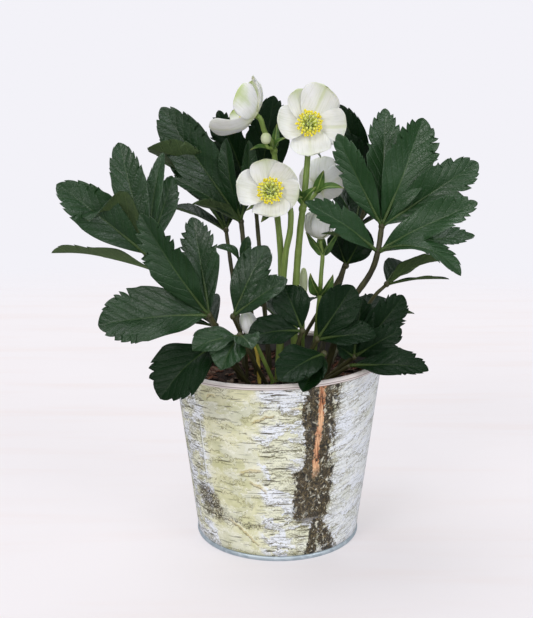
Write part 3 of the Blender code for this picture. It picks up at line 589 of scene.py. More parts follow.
def bark_finish():
    """Birch bark printed on sheet metal, drawn on the unrolled wall, in millimetres round and up it.

    Torn layers of cream and blue-white lie over each other, lit along their upper edges and shaded below.
    Over them lie horizontal pores, cracked plates beside the scar, slanting flecks on the right, curled
    peels, a dark patch low on the left, and the scar itself with its orange core. The sheet's edges meet in
    a seam at the back.
    """
    look = Finish("birch print")
    x, y, z = look.parts(look.point())
    around = x.angle(0.0 - y) * PRINT_RADIUS
    radius = (x * x + y * y).root() * 1000.0
    height = z * 1000.0
    level = height - (0.16 * (around - 30.0).most(0.0) - 0.06 * (0.0 - around).most(0.0))
    flat = look.vector(around, level)

    def drawn(wide, tall, shift, detail, rough=0.5, bend=0.0, up=level):
        """Noise stretched over the wall by its scales round it and up it."""
        return look.noise((around * wide, up * tall, shift), 1.0, detail, rough, bend)

    rag = look.noise(flat, 0.22, 5.0, 0.68)
    shear = look.noise((level * 0.2, around * 0.2, 61.0), 1.0, 4.0, 0.66)
    tear = look.noise(flat, 0.75, 5.0, 0.72)
    speck = look.noise(flat, 1.6, 4.0, 0.65)
    cloud = drawn(0.05, 0.06, 3.0, 4.0, 0.6, 0.5)
    stain = drawn(0.07, 0.1, 13.0, 5.0, 0.62, 0.6)
    patchy = drawn(0.06, 0.09, 17.0, 3.0).step(0.38, 0.54)
    coarse = drawn(0.1, 0.1, 53.0, 5.0, 0.72, up=height)
    ragged_off, torn_off = rag - 0.5, tear - 0.5

    # The calm olive zone, and the right third
    side = around + 26.0 * (cloud - 0.5) + 16.0 * ragged_off
    calm = side.step(-8.0, -14.0) * side.step(-56.0, -50.0)
    calm = calm.most(0.8 * side.step(92.0, 118.0) * side.step(176.0, 152.0))
    busy = 1.0 - 0.9 * calm
    right = (around + 12.0 * ragged_off).step(34.0, 42.0) * side.step(118.0, 84.0)

    # The layers: terraces of a slow noise, read twice to light and shade their torn edges
    def terraces(up):
        tall = (level + up) * 0.075 + 0.7 * rag + 0.2 * tear
        sheet = look.noise((around * 0.05 + 0.9 * shear, tall, 7.0), 1.0, 2.0, 0.5, 0.2)
        return (sheet.step(0.435, 0.443) + sheet.step(0.50, 0.508) + sheet.step(0.575, 0.583)) / 3.0

    # Blocks: long low plates, each its own tone, with dark lines only where one stands over another
    def plates(wide, tall, up, shift):
        here = look.vector(
            around / wide + 1.1 * (shear - 0.5) + shift,
            (level + up) / tall + 0.8 * ragged_off + 0.4 * torn_off + shift,
        )
        return look.parts(look.cells(here, out="Color", dimensions="2D", distance="CHEBYCHEV"))[0]

    layer = terraces(0.0)
    relief = terraces(0.6) - layer
    block = plates(15.0, 6.0, 0.0, 3.0)
    ledge = block - plates(15.0, 6.0, 0.55, 3.0)
    lines = abs(ledge).step(0.12, 0.3) * tear.step(0.36, 0.5)
    blue = look.mix(speck.step(0.3, 0.7), (222, 229, 240), (248, 250, 254))
    pale = look.mix(speck.step(0.3, 0.7), (218, 220, 192), (240, 240, 220))
    olive = look.mix(cloud.step(0.32, 0.66), (198, 198, 150), (228, 226, 190))
    colour = look.layers(
        look.mix((0.6 * layer + 0.4 * block).step(0.41, 0.52), blue, pale),
        (0.8 * right, blue),
        (calm * (0.7 + 0.25 * layer), olive),
        (0.45 * stain.step(0.52, 0.72), (184, 184, 142)),
        (0.55 * stain.step(0.47, 0.33) * (1.0 - 0.6 * calm), (240, 243, 247)),
        ((relief * 2.2).least(0.5), (252, 251, 242)),
        ((relief * -2.6).least(0.75), (124, 116, 78)),
        (0.9 * (lines * busy * (0.45 + 0.55 * patchy) * (1.0 - 0.7 * right)), (74, 68, 40)),
    )

    # Pores: one short dash about each cell's own point, and long thin islands of a stretched noise
    tears = look.noise((around * 0.07 + 9.0, level * 0.62 + 0.8 * rag, 9.0), 1.0, 2.0, 0.55)
    tears = tears.step(0.61, 0.65) * busy
    edges = look.noise((around * 0.045, level * 0.26 + 0.7 * rag, 71.0), 1.0, 3.0, 0.6)
    edges = abs(edges - 0.5).step(0.02, 0.008) * tear.step(0.42, 0.54) * busy
    marks = (tears * 0.9).most(edges * 0.6 * (1.0 - right))
    for wide_cell, tall_cell, longest, thick, strength, shift in (
        (11.0, 4.8, 5.0, 0.32, 0.8, 0.0), (9.0, 4.8, 2.6, 0.26, 0.6, 5.3), (20.0, 8.0, 9.0, 0.46, 1.0, 9.7),
    ):
        here = look.vector(around / wide_cell + shift, level / tall_cell + shift)
        spot = look.cells(here, out="Position", dimensions="2D")
        chance = look.parts(look.cells(here, out="Color", dimensions="2D"))
        sx, sy, _ = look.parts(look.add("VectorMath", {"operation": "SUBTRACT"}, spot, here))
        reach = abs(sx) * wide_cell / (longest * (0.35 + 0.65 * chance[0]))
        off = abs(sy * tall_cell + (1.1 * ragged_off + 0.7 * torn_off)) / (thick * (0.6 + 0.8 * chance[1]))
        dash = (reach * reach + off * off).step(1.1, 0.4) * chance[2].above(0.3) * strength
        marks = marks.most(dash)
    marks = marks * (0.42 + 0.2 * patchy + 0.42 * busy).least(0.95) * (1.0 - 0.55 * right)

    # Cracked plates, thickest beside the scar and at the left edge
    small = plates(4.6, 2.3, 0.0, 21.0)
    crack_up = abs(small - plates(4.6, 2.3, 0.4, 21.0)).step(0.08, 0.25)
    warp = look.vector(around * 0.24 + 1.3 * rag, level * 0.46 + 1.5 * tear)
    net = look.cells(warp, feature="DISTANCE_TO_EDGE", dimensions="2D").step(0.1, 0.02)
    beside = (abs(around - 25.0).step(26.0, 10.0) + 0.12).most((-50.0 - around).step(0.0, 9.0))
    web = drawn(0.07, 0.07, 23.0, 4.0, 0.6).step(0.34, 0.56)
    beside = (beside * web).least(1.0) * (1.0 - 0.85 * calm)

    # Slanting dark flecks on the right
    rise = 0.4 * (around - 36.0).most(0.0)
    flecks = look.noise((around * 0.09, (level - rise) * 0.55 + 1.1 * rag, 31.0), 1.0, 2.0)
    flecks = abs(flecks - 0.5).step(0.011, 0.004) * right * tear.step(0.42, 0.52)
    colour = look.layers(
        colour,
        (marks, (68, 62, 36)),
        (0.78 * crack_up * beside * tear.step(0.3, 0.46), (88, 84, 54)),
        (0.45 * net * beside * tear.step(0.4, 0.55), (90, 86, 54)),
        (0.4 * small.step(0.7, 0.8) * beside, (160, 156, 116)),
        (0.5 * (beside * look.noise(flat, 0.42, 5.0, 0.72).step(0.53, 0.62)), (112, 106, 66)),
        (flecks * (0.3 + 0.7 * patchy), (80, 76, 50)),
        (0.8 * (drawn(0.16, 0.2, 37.0, 5.0, 0.75).step(0.66, 0.7) * right), (74, 72, 58)),
    )

    # Curled peels: a bright lip, a beige underside and a thin shadow, each about its own place
    for place, up, long, tall, way in (
        (-10.0, 106.0, 8.0, 2.4, 0.35), (-19.0, 68.0, 9.0, 3.0, 0.22), (-14.0, 57.0, 7.0, 2.6, -0.6),
        (-44.0, 118.0, 4.0, 2.6, 0.3), (-27.0, 22.0, 13.0, 2.4, -0.7), (14.0, 112.0, 9.0, 1.8, -0.1),
    ):
        dx = (around - place + 3.0 * ragged_off) / long
        rim = height - up - way * (around - place) + 7.0 * ragged_off + 2.0 * torn_off + 1.5 * dx * dx
        dy = rim / tall
        here = (dx * dx).step(1.0, 0.4)
        colour = look.layers(
            colour,
            (0.7 * (dy.step(0.05, 0.3) * dy.step(0.95, 0.4) * here), (236, 235, 208)),
            (0.6 * (dy.step(-0.6, -0.2) * dy.step(0.2, 0.0) * here), (204, 184, 126)),
            (0.75 * (dy.step(-0.95, -0.65) * dy.step(-0.35, -0.55) * here), (112, 100, 62)),
        )

    # A thin upright crease on the left
    crease = around + 57.5 + 1.5 * ragged_off
    upright = height.step(48.0, 60.0) * height.step(104.0, 88.0)

    # The scar: two dark flanks, a wide block below the middle, legs at the foot, and a patch at the left
    def within(off, soft=0.7):
        """1 where off is below 0, with a soft edge."""
        return off.step(soft, -0.4)

    ragged = 24.0 * (coarse - 0.5) + 11.0 * ragged_off + 6.0 * torn_off
    drift = 25.5 + 0.03 * (height - 60.0)
    from_scar = around - drift + ragged
    right_flank = within(abs(from_scar - 6.6) - 5.2) * coarse.step(0.43, 0.5) * rag.step(0.4, 0.48)
    flank = within(abs(from_scar + 7.0) - 3.8).most(right_flank).most(within(abs(from_scar) - 6.0, 0.8))
    block_y = abs(height - 50.0 + 0.5 * ragged) - 17.5
    broad = within(abs(around - 24.5 + 0.8 * ragged) - 13.5, 0.8) * block_y.step(1.0, -0.6)
    leg_left = within(abs(around - 25.0 - 0.08 * height + 0.5 * ragged) - 4.6 + 0.07 * height)
    leg_right = within(abs(around - 43.5 + 0.42 * height + 0.9 * ragged) - 8.5 + 0.2 * height)
    legs = leg_left.most(leg_right * coarse.step(0.36, 0.46)) * height.step(37.0, 29.0)
    knot_x = (around + 55.0 + 0.8 * ragged) / 16.0
    knot_y = (height - 36.0 + 0.6 * ragged + 0.28 * (around + 55.0)) / 12.5
    knot = (knot_x * knot_x + knot_y * knot_y).step(1.2, 0.4) * tear.step(0.40, 0.52)
    trail = abs(height - 27.0 + 0.05 * (around + 30.0) + 0.5 * ragged).step(2.6, 0.5)
    trail = trail * around.step(-52.0, -44.0) * around.step(6.0, -14.0) * tear.step(0.42, 0.54)
    dark = (flank * height.step(24.0, 34.0)).most(broad).most(legs).most(knot).most(trail * 0.8)
    ridges = drawn(0.42, 0.3, 41.0, 6.0, 0.76, 1.4, height)
    chips = drawn(0.3, 0.24, 43.0, 5.0, 0.7, 0.8, height)
    core = abs(around - drift + 1.0 + 9.0 * (coarse - 0.5) + 4.0 * torn_off).step(2.5, 1.6)
    core = core * (height + 26.0 * (coarse - 0.5)).step(60.0, 70.0)
    grain = drawn(0.75, 0.055, 47.0, 5.0, 0.68, 0.3, height)
    orange = look.mix(grain.step(0.40, 0.60), (168, 86, 38), (236, 190, 146))
    orange = look.mix(grain.step(0.44, 0.38), orange, (84, 50, 30))
    wood = look.layers(
        look.mix(ridges.step(0.42, 0.62), (20, 15, 10), (100, 84, 54)),
        (ridges.step(0.57, 0.66) * 0.8, (180, 168, 130)),
        (chips.step(0.56, 0.61) * (0.5 + 0.5 * (from_scar + 2.0).step(-2.0, 8.0)), (214, 212, 194)),
        (core * chips.step(0.36, 0.44), orange),
    )

    # The lengthwise seam at the back, the lacquered rim bead above the print, with painted shadow lines
    # along the bead, and the bare metal inside, darkened with painted shade
    seam = abs(around)
    over = height - RIM_RISE / RIM_RADIUS * x * 1000.0 - (POT_HEIGHT - 2.0 * RIM_BEAD)
    bead = over.step(0.6, 0.9)
    # Dark lines along the middle of the bead and at its foot: painted shadow lines of the rolled rim
    line = abs(over - 1.9).step(0.4, 0.15) + 0.8 * abs(over - 0.6).step(0.4, 0.1)
    slope = (WALL_TOP_RADIUS - WALL_FOOT_RADIUS) / (POT_HEIGHT - RIM_BEAD - HEM_HEIGHT)
    outer = WALL_FOOT_RADIUS + slope * (height - HEM_HEIGHT)
    inside = (outer - radius).step(0.35, 0.6) * (1.0 - bead)
    colour = look.layers(
        colour,
        (0.6 * abs(crease).step(0.5, 0.2) * upright, (92, 92, 70)),
        (0.7 * abs(crease - 1.2).step(0.9, 0.4) * upright, (234, 238, 238)),
        (dark.least(0.97), wood),
        (0.8 * seam.step(SEAM_PLACE, SEAM_PLACE + 0.4), (92, 96, 98)),
        (0.5 * abs(seam - SEAM_PLACE + 1.5).step(1.2, 0.4), (232, 236, 240)),
        (bead, look.mix(speck, (222, 210, 208), (242, 234, 232))),
        (0.7 * line.least(1.0), (96, 72, 62)),
        # The inside wall's dark grey is painted shade on the bare metal
        (inside, look.mix(speck, (70, 68, 66), (104, 102, 100))),
    )
    rough = 0.36 + 0.12 * speck - 0.1 * bead + 0.1 * dark
    normal = look.bump(speck, 0.00008, 0.3)
    return look.done(colour, rough, normal, Metallic=0.4 * inside, Specular_IOR_Level=0.45)


def zinc_finish():
    """Galvanised sheet: soft crystal patches a few millimetres wide, and fine scratches round the hem."""
    look = Finish("zinc")
    point = look.point()
    crystal = look.parts(look.cells(point, 260.0, out="Color"))[0]
    scratch = look.noise(look.point((60, 60, 1400)))
    colour = look.mix(0.5 * crystal + 0.5 * look.noise(point, 120.0), (164, 180, 192), (212, 222, 230))
    rough = 0.34 + 0.18 * crystal + 0.1 * scratch
    return look.done(colour, rough, look.bump(scratch, 0.00006, 0.4), Metallic=0.5)


def soil_finish():
    """Dark damp peat: soft crumbs over a fine grit, with a few paler fibres."""
    look = Finish("soil")
    point = look.point()
    crumbs = look.noise(point, 260.0, 5.0, 0.7)
    grit = look.cells(point, 700.0)
    fibres = look.noise(look.point((900, 160, 500))).step(0.66, 0.74)
    colour = look.mix(crumbs.step(0.3, 0.7), (20, 14, 12), (58, 42, 34))
    colour = look.mix(0.5 * fibres, colour, (108, 82, 62))
    return look.done(colour, 0.85, look.bump(crumbs + 0.6 * grit, 0.0012, 0.9), Specular_IOR_Level=0.25)


def chip_finish():
    """Bark chips: reddish brown to grey brown, each chip its own tone, with a grain along it."""
    look = Finish("bark chip")
    _, tone, grey = look.reads("look")
    around, along, _ = look.reads("where")
    grain = look.noise((around * 1.2, along * 0.2, tone * 30.0), 1.0, 4.0, 0.65)
    colour = look.layers(
        look.mix(tone, (46, 30, 24), (122, 74, 52)),
        (0.45 * grey, (128, 116, 100)),
        (grain.step(0.4, 0.7) * 0.5, (28, 18, 14)),
    )
    return look.done(colour, 0.8, look.bump(grain, 0.0004, 0.7), Specular_IOR_Level=0.3)


def floor_finish():
    """A pale matt floor that glows a little, has a faint warm grain, and fades out at its far rim."""
    look = Finish("floor")
    x, y, _ = look.parts(look.point())
    cloud = look.noise(look.point((1, 2.2, 1)), 3.0, 4.0, 0.6)
    streak = look.noise(look.point((3, 26, 1)), 1.0, 4.0, 0.6)
    colour = look.mix(cloud, (160, 155, 158), (167, 163, 166))
    colour = look.mix(0.4 * streak.step(0.45, 0.75), colour, (158, 140, 134))
    look.done(colour, 0.8, Specular_IOR_Level=0.1, Emission_Color=seen(250, 246, 249), Emission_Strength=0.54)
    clear = look.nodes.new("ShaderNodeBsdfTransparent")
    blend = look.nodes.new("ShaderNodeMixShader")
    look.put(blend.inputs[0], (x * x + y * y).root().step(FLOOR_FADE, FLOOR_RADIUS))
    look.links.new(look.shader.outputs[0], blend.inputs[1])
    look.links.new(clear.outputs[0], blend.inputs[2])
    look.links.new(blend.outputs[0], look.nodes["Material Output"].inputs["Surface"])
    return look.material


def grid(*parts):
    """Arrays of matching shapes, side by side along a new last axis."""
    return np.stack(np.broadcast_arrays(*parts), -1)


def even_turns(count):
    """Angles in radians that share a full turn evenly."""
    return np.linspace(0, 2 * np.pi, count, endpoint=False)


def enclosed(corners, faces):
    """Six times the volume that the faces enclose: each is cut into triangles from its first corner."""
    first, *others = (corners[faces[:, k]] for k in range(faces.shape[1]))
    return sum(np.einsum("ij,ij->", first, np.cross(b, c)) for b, c in zip(others, others[1:]))


class Surface:
    """Closed surfaces gathered for one mesh: corners in millimetres, faces, and what the finishes read.

    "where" holds millimetres across and along and the share of the way along. "look" holds the underside
    flag, a tone and one more number, which each finish explains.
    """

    def __init__(self):
        self.corners, self.where, self.look = [], [], []
        self.quads, self.triangles = [], [np.zeros((0, 3), int)]
        self.count = 0

    def rings(self, places, where, look):
        """Adds closed rings (rings, sides, 3), joined one to the next, with a fan over both end rings."""
        where, look = (np.broadcast_to(values, places.shape)[None] for values in (where, look))
        self.batch(places[None], where, look)

    def batch(self, places, where, look):
        """Adds many alike ring surfaces at once: (copies, rings, sides, 3).

        The volume that the first encloses tells which way the faces point, and they are turned outwards.
        """
        copies, rings, sides, _ = places.shape
        number = np.arange(rings * sides).reshape(rings, sides)
        turned = np.roll(number, -1, axis=1)
        quads = grid(number[:-1], turned[:-1], turned[1:], number[1:]).reshape(-1, 4)
        fans = np.concatenate([
            grid(rings * sides, turned[0], number[0]), grid(rings * sides + 1, number[-1], turned[-1]),
        ])
        blocks = []
        for values in (places, where, look):
            flat = values.reshape(copies, rings * sides, 3)
            ends = np.stack([values[:, 0].mean(axis=1), values[:, -1].mean(axis=1)], axis=1)
            blocks.append(np.concatenate([flat, ends], axis=1))
        if enclosed(blocks[0][0], quads) + enclosed(blocks[0][0], fans) < 0:
            quads, fans = quads[:, ::-1], fans[:, ::-1]
        each = rings * sides + 2
        offsets = self.count + each * np.arange(copies)[:, None, None]
        self.quads.append((quads[None] + offsets).reshape(-1, 4))
        self.triangles.append((fans[None] + offsets).reshape(-1, 3))
        for store, block in zip((self.corners, self.where, self.look), blocks):
            store.append(block.reshape(-1, 3))
        self.count += each * copies

    def wheel(self, places):
        """Sets a grid that closes both ways: sections round the axis, each a closed outline."""
        number = np.arange(places[..., 0].size).reshape(places.shape[:2])
        ahead, beside = np.roll(number, -1, axis=0), np.roll(number, -1, axis=1)
        quads = grid(number, ahead, np.roll(ahead, -1, axis=1), beside).reshape(-1, 4)
        corners = places.reshape(-1, 3)
        self.quads = [quads if enclosed(corners, quads) > 0 else quads[:, ::-1]]
        self.corners, self.where, self.look = [corners], [0 * corners], [0 * corners]

    def made(self, name, finish, slot, replaced, smooth=True):
        """Turns what was gathered into a piece that rides on the plant and stands for its solids."""
        faces = [*np.concatenate(self.quads).tolist(), *np.concatenate(self.triangles).tolist()]
        mesh = bpy.data.meshes.new(name)
        mesh.from_pydata(np.concatenate(self.corners) * MM, [], faces)
        for label, values in (("where", self.where), ("look", self.look)):
            kept = mesh.attributes.new(label, "FLOAT_VECTOR", "POINT")
            kept.data.foreach_set("vector", np.concatenate(values).astype(np.float32).ravel())
        mesh.polygons.foreach_set("use_smooth", np.full(len(faces), smooth))
        mesh.materials.append(FINISHES[finish])
        obj = bpy.data.objects.new(name, mesh)
        bpy.context.scene.collection.objects.link(obj)
        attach(obj, "root")
        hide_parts(*replaced)


def unit(vector):
    vector = np.asarray(vector, float)
    return vector / np.linalg.norm(vector, axis=-1, keepdims=True)


def smooth_path(points, steps=6):
    """A Catmull-Rom curve.

    Between b and c it is half of 2b + (c - a)t + (2a - 5b + 4c - d)t2 + (3b - a - 3c + d)t3.
    """
    given = np.array([tuple(p) for p in points], float)
    ends = np.vstack([2 * given[0] - given[1], given, 2 * given[-1] - given[-2]])
    a, b, c, d = (ends[k : len(ends) - 3 + k, None] for k in range(4))
    t = (np.arange(steps) / steps)[None, :, None]
    curve = 0.5 * (2 * b + (c - a) * t + (2 * a - 5 * b + 4 * c - d) * t**2 + (3 * b - a - 3 * c + d) * t**3)
    return np.vstack([curve.reshape(-1, 3), given[-1]])


def stalk_route(root, points):
    """From under the soil's surface straight up out of it, then smoothly on through the points."""
    x, y = root
    return np.vstack([(x, y, STEM_FOOT), smooth_path([(x, y, SOIL_TOP + STRAIGHT), *points])])


def tube(shape, route, radii, look=(0, 0, 0), sides=12, ripple=0.0, flat_side=0.0):
    """A round stalk: circles of the given radii stand square to the route at its points.

    ripple makes each circle's radius wander a little along the way, and flat_side presses one side in.
    """
    route = np.asarray(route, float)
    along = np.concatenate([[0], np.cumsum(np.linalg.norm(np.diff(route, axis=0), axis=1))])
    even = np.linspace(0, along[-1], max(3, int(along[-1] / STALK_STEP)))
    line = np.stack([np.interp(even, along, route[:, k]) for k in range(3)], -1)
    radius = np.interp(even, along, np.interp(along, np.linspace(0, along[-1], len(radii)), radii))
    radius = radius * (1 + ripple * np.sin(even * 0.35 + route[0, 0]) + 0.6 * ripple * np.sin(even * 0.83))
    tangent = unit(np.gradient(line, axis=0))
    side = unit(np.cross(tangent, (0.36, 0.93, 0.08)))
    other = np.cross(side, tangent)
    angle = even_turns(sides)
    press = 1 - flat_side * np.maximum(0, np.cos(angle - np.pi / 2)) ** 3
    ring = np.cos(angle)[None, :, None] * side[:, None] + np.sin(angle)[None, :, None] * other[:, None]
    places = line[:, None] + ring * (radius[:, None] * press[None])[..., None]
    shape.rings(places, grid(angle[None] * radius[:, None], even[:, None], even[:, None] / along[-1]), look)


def knob(shape, middle, radii, look=(0, 0, 0)):
    """A ball drawn out to three radii: height r cos a, and across r sin a in the round."""
    rise = np.linspace(0.12, np.pi - 0.12, 9)[:, None]
    turn = even_turns(14)
    ball = grid(np.sin(rise) * np.cos(turn), np.sin(rise) * np.sin(turn), np.cos(rise))
    shape.rings(np.asarray(middle, float) + ball * np.asarray(radii, float), ball * 3.0, look)


# Across a blade: where the samples of its upper side and of its lower side stand, from -1 to 1
UPPER_HALF = np.array([0.03, 0.08, 0.15, 0.23, 0.31, 0.39, 0.47, 0.55, 0.63, 0.71, 0.79, 0.86, 0.92, 0.97])
LOWER_HALF = np.array([0.06, 0.22, 0.5, 0.8, 0.95])
UPPER = np.concatenate([[-1.0], -UPPER_HALF[::-1], [0.0], UPPER_HALF, [1.0]])
LOWER = np.concatenate([LOWER_HALF[::-1], [0.0], -LOWER_HALF])
ROUND = np.concatenate([UPPER, LOWER])[None]
TOP_SIDE = np.concatenate([np.ones(len(UPPER)), -np.ones(len(LOWER))])[None]


def leaflet_width(t):
    """Share of the full half width at t along a leaflet: a wedge, widest near 0.63, with a short point."""
    return t**1.05 * np.maximum(0, 1 - t) ** 0.62 / (0.63**1.05 * 0.37**0.62)


def bract_width(t):
    """Share of the full half width at t along a bract: widest a third of the way up and pointed."""
    return t**0.5 * np.maximum(0, 1 - t) ** 0.9 / (0.357**0.5 * 0.643**0.9)


def sepal_width(t):
    """Share of the full half width at t along a sepal: broad and rounded, widest at two thirds."""
    return np.maximum(t, 0.03) ** 0.7 * (1.001 - t) ** 0.36 / (0.66**0.7 * 0.34**0.36)


def toothed(start, t, teeth, tallest, chance):
    """Teeth on both margins of a blade. Gives two grids, with a row for each t and a column for each s.

    The first says how many millimetres a sample is cut in, the second by what share of the length it moves.
    Each margin's outer part, past the share start, is a row of uneven teeth. The edge swells out over
    TOOTH_ROWS rows, leans forward, and drops back into a notch.
    """
    row = np.arange(len(t))
    place = row - PLAIN_ROWS
    number = np.clip(place // TOOTH_ROWS, 0, teeth - 1)
    phase = np.clip(place - number * TOOTH_ROWS, 0, TOOTH_ROWS) / TOOTH_ROWS
    rise = np.minimum(1, phase / (1 - 1 / TOOTH_ROWS)) ** 0.7
    ramp = np.clip((place + 1) / 4, 0, 1) * (row < len(t) - 1)
    cut, moved = np.zeros((len(t), ROUND.size)), np.zeros((len(t), ROUND.size))
    for way in (-1, 1):
        gaps = 0.5 + 1.0 * chance.random(teeth)
        gaps[-1] = 0.9
        borders = start + (1 - start) * np.concatenate([[0], np.cumsum(gaps)]) / gaps.sum()
        reach = borders[number + 1] - borders[number]
        edge_t = np.where(place < 0, t * (borders[0] / start), borders[number] + reach * phase)
        big = (0.3 + 1.2 * chance.random(teeth))[number]
        lean = 0.5 * reach * rise**2 * ramp * (place >= 0)
        cut += np.maximum(0, way * ROUND) ** 4 * (tallest * big * (1 - rise) * ramp)[:, None]
        moved += np.maximum(0, way * ROUND) ** 3 * (edge_t - t + lean)[:, None]
    return cut, moved


def blade(
    shape, spec, base, chance, fold, teeth=0, outline=leaflet_width, wave=LEAF_WAVE, tone=0.5,
    cut_share=TOOTH_CUT,
):
    """A thin leaflet from base to the tip that spec gives, as closed rings across it.

    At (t, s), t along and s across from -1 to 1, a point lies at base + axis t + side s w cos(fold)
    + normal (|s| w sin(fold) + 4 bow t (1 - t)), w being half the width times the outline's share at t.
    The fold is rounded off at the midrib, which is sunk and has a rib below it. Between the side veins the
    blade puffs up, and its margins wave.
    """
    width, bow = spec.width, spec.bow
    base = np.asarray(base, float)
    axis = np.asarray(spec.tip, float) - base
    length = np.linalg.norm(axis)
    normal = np.asarray(spec.facing, float)
    normal = unit(normal - axis * (normal @ axis) / length**2)
    side = np.cross(axis / length, normal)
    start = FIRST_TOOTH + FIRST_TOOTH_SPREAD * chance.random() if teeth else 1.0
    fold = fold * (0.75 + 0.5 * chance.random())
    row = np.arange(PLAIN_ROWS + TOOTH_ROWS * teeth + 1)
    past = start + (1 - start) * (row - PLAIN_ROWS) / max(1, TOOTH_ROWS * teeth)
    t = np.where(row < PLAIN_ROWS, start * row / PLAIN_ROWS, past)
    s, top = ROUND, TOP_SIDE
    along = np.broadcast_to(t[:, None], (len(t), s.size)).copy()
    cut = np.zeros_like(along)
    if teeth:
        cut, moved = toothed(start, t, teeth, np.clip(cut_share * width, 0.5, 5.0), chance)
        along += moved
    along = np.clip(along, 0, 1)
    half = np.maximum(width / 2 * outline(along), np.where(along > 0.5, 0.12, 0.5))
    x = s * half - np.sign(s) * np.minimum(cut, 0.5 * np.abs(s) * half)
    flat = np.sqrt(x * x + 0.5) - math.sqrt(0.5)
    turns = 2 * np.pi * (1.7 * along + np.where(s > 0, chance.random(), chance.random()))
    ripple = wave * width * np.abs(s) ** 2.2 * np.sin(turns)
    ripple = ripple * np.minimum(1, 3 * along) * (1.02 - along) ** 0.3
    veins = (length * along - VEIN_SLOPE * np.abs(x)) / VEIN_SPACING + 0.5 * (x > 0)
    puff = PUFF * np.cos(2 * np.pi * veins) * np.clip(np.abs(x) / 3.0, 0, 1) * (1 - np.abs(s) ** 6)
    puff = puff * np.minimum(1, width / 20)
    groove = GROOVE * (1 - 0.7 * along) * np.exp(-(x**2))
    lumps = min(1.3, 0.045 * width) * np.sin(0.19 * x + 9 * chance.random())
    lumps = lumps * np.sin(0.12 * length * along + 9 * chance.random())
    twist = 0.05 * width * (chance.random() - 0.5) * s * along
    lift = flat * math.sin(fold) + 4 * bow * along * (1 - along) + ripple + puff - groove + lumps + twist
    body = BLADE_THICK / 2 * np.sqrt(np.maximum(0, 1 - s**8)) * top
    places = base + axis * along[..., None] + side * (x * math.cos(fold))[..., None]
    places = places + normal * (lift + body)[..., None]
    look = grid((top < 0).astype(float), tone, 0.0 * along)
    shape.rings(places, grid(x, length * along, along), look)
    rib = np.linspace(0, 0.5, 9)
    low = 0.15 + 0.9 * rib
    line = base + axis * rib[:, None] + normal * (4 * bow * rib * (1 - rib) - low * 0.75)[:, None]
    thick = min(1.25, 0.05 * width + 0.45)
    tube(shape, line, [thick, 0.75 * thick, 0.28], look=(0.35, tone, 0.6), sides=8)


def leaf(name, spec, number):
    """One leaf: its stalk, and on it the leaflets that fan out from its hubs."""
    chance = np.random.default_rng(SEED + number)
    stalk, blades = Surface(), Surface()
    route = stalk_route(spec.root, [*spec.via, *spec.hubs])
    radii = [spec.radius * share for share in (1.05, 0.9, 0.78)]
    tube(stalk, route, radii, ripple=0.04, flat_side=0.22)
    single = len(spec.leaflets) == 1
    for hub in [] if single else spec.hubs:
        size = max(HUB_RADIUS, spec.radius * 0.95)
        knob(stalk, hub, (size, size, size * 1.1))
    for item in spec.leaflets:
        hub = np.asarray(spec.hubs[item.hub], float)
        base = hub if single else hub + unit(np.asarray(item.tip) - hub) * BASE_OUT
        pitch = COARSE_PITCH if spec.coarse else TOOTH_PITCH
        teeth = int(np.clip(round(np.linalg.norm(np.asarray(item.tip) - base) / pitch), 2, 6))
        tone = np.clip(spec.tone + 0.2 * (chance.random() - 0.5), 0, 1)
        cut_share = COARSE_CUT if spec.coarse else TOOTH_CUT
        blade(blades, item, base, chance, LEAF_FOLD, teeth, tone=tone, cut_share=cut_share)
    stalk.made(name + "_stalk", "leaf stalk", "green_stem", [name])
    # The darkest leaves take the blade finish with painted shade
    blades.made(name + "_blades", "leaf with painted shade" if spec.tone < PAINTED_SHADE_TONE else "leaf", "leaf", [name])


def bloom_frame(spec):
    """Rows right, up and axis: the axis is the way the bloom faces, and up is as near +Z as can be."""
    axis = unit(spec.axis)
    up = np.array((0.0, 0.0, 1.0)) if abs(axis[2]) < 0.9 else np.array((0.0, -1.0, 0.0))
    right = unit(np.cross(up, axis))
    return np.stack([right, np.cross(axis, right), axis])


def bud_axes(spec):
    """Rows right, up and axis of a bud that leans by two angles, about +Y and then about +X."""
    over, back = (math.radians(angle) for angle in spec.lean)
    about_y = np.array([[math.cos(over), 0, math.sin(over)], [0, 1, 0], [-math.sin(over), 0, math.cos(over)]])
    about_x = np.array([[1, 0, 0], [0, math.cos(back), math.sin(back)], [0, -math.sin(back), math.cos(back)]])
    return (about_y @ about_x).T


def top_points(carries):
    """The last points of a stem, which meet the back of what it carries."""
    if carries in BLOOMS:
        spec = BLOOMS[carries]
        place, axis, gaps = spec.seat, unit(spec.axis), (SEAT_BACK + SEAT_GAP + 3.0, SEAT_BACK + SEAT_GAP)
    elif carries in BUDS:
        spec = BUDS[carries]
        base = spec.radii[2] + SEAT_GAP
        place, axis, gaps = spec.middle, bud_axes(spec)[2], (base + 2.0, base)
    else:
        return []
    return [np.asarray(place) - axis * gap for gap in gaps]


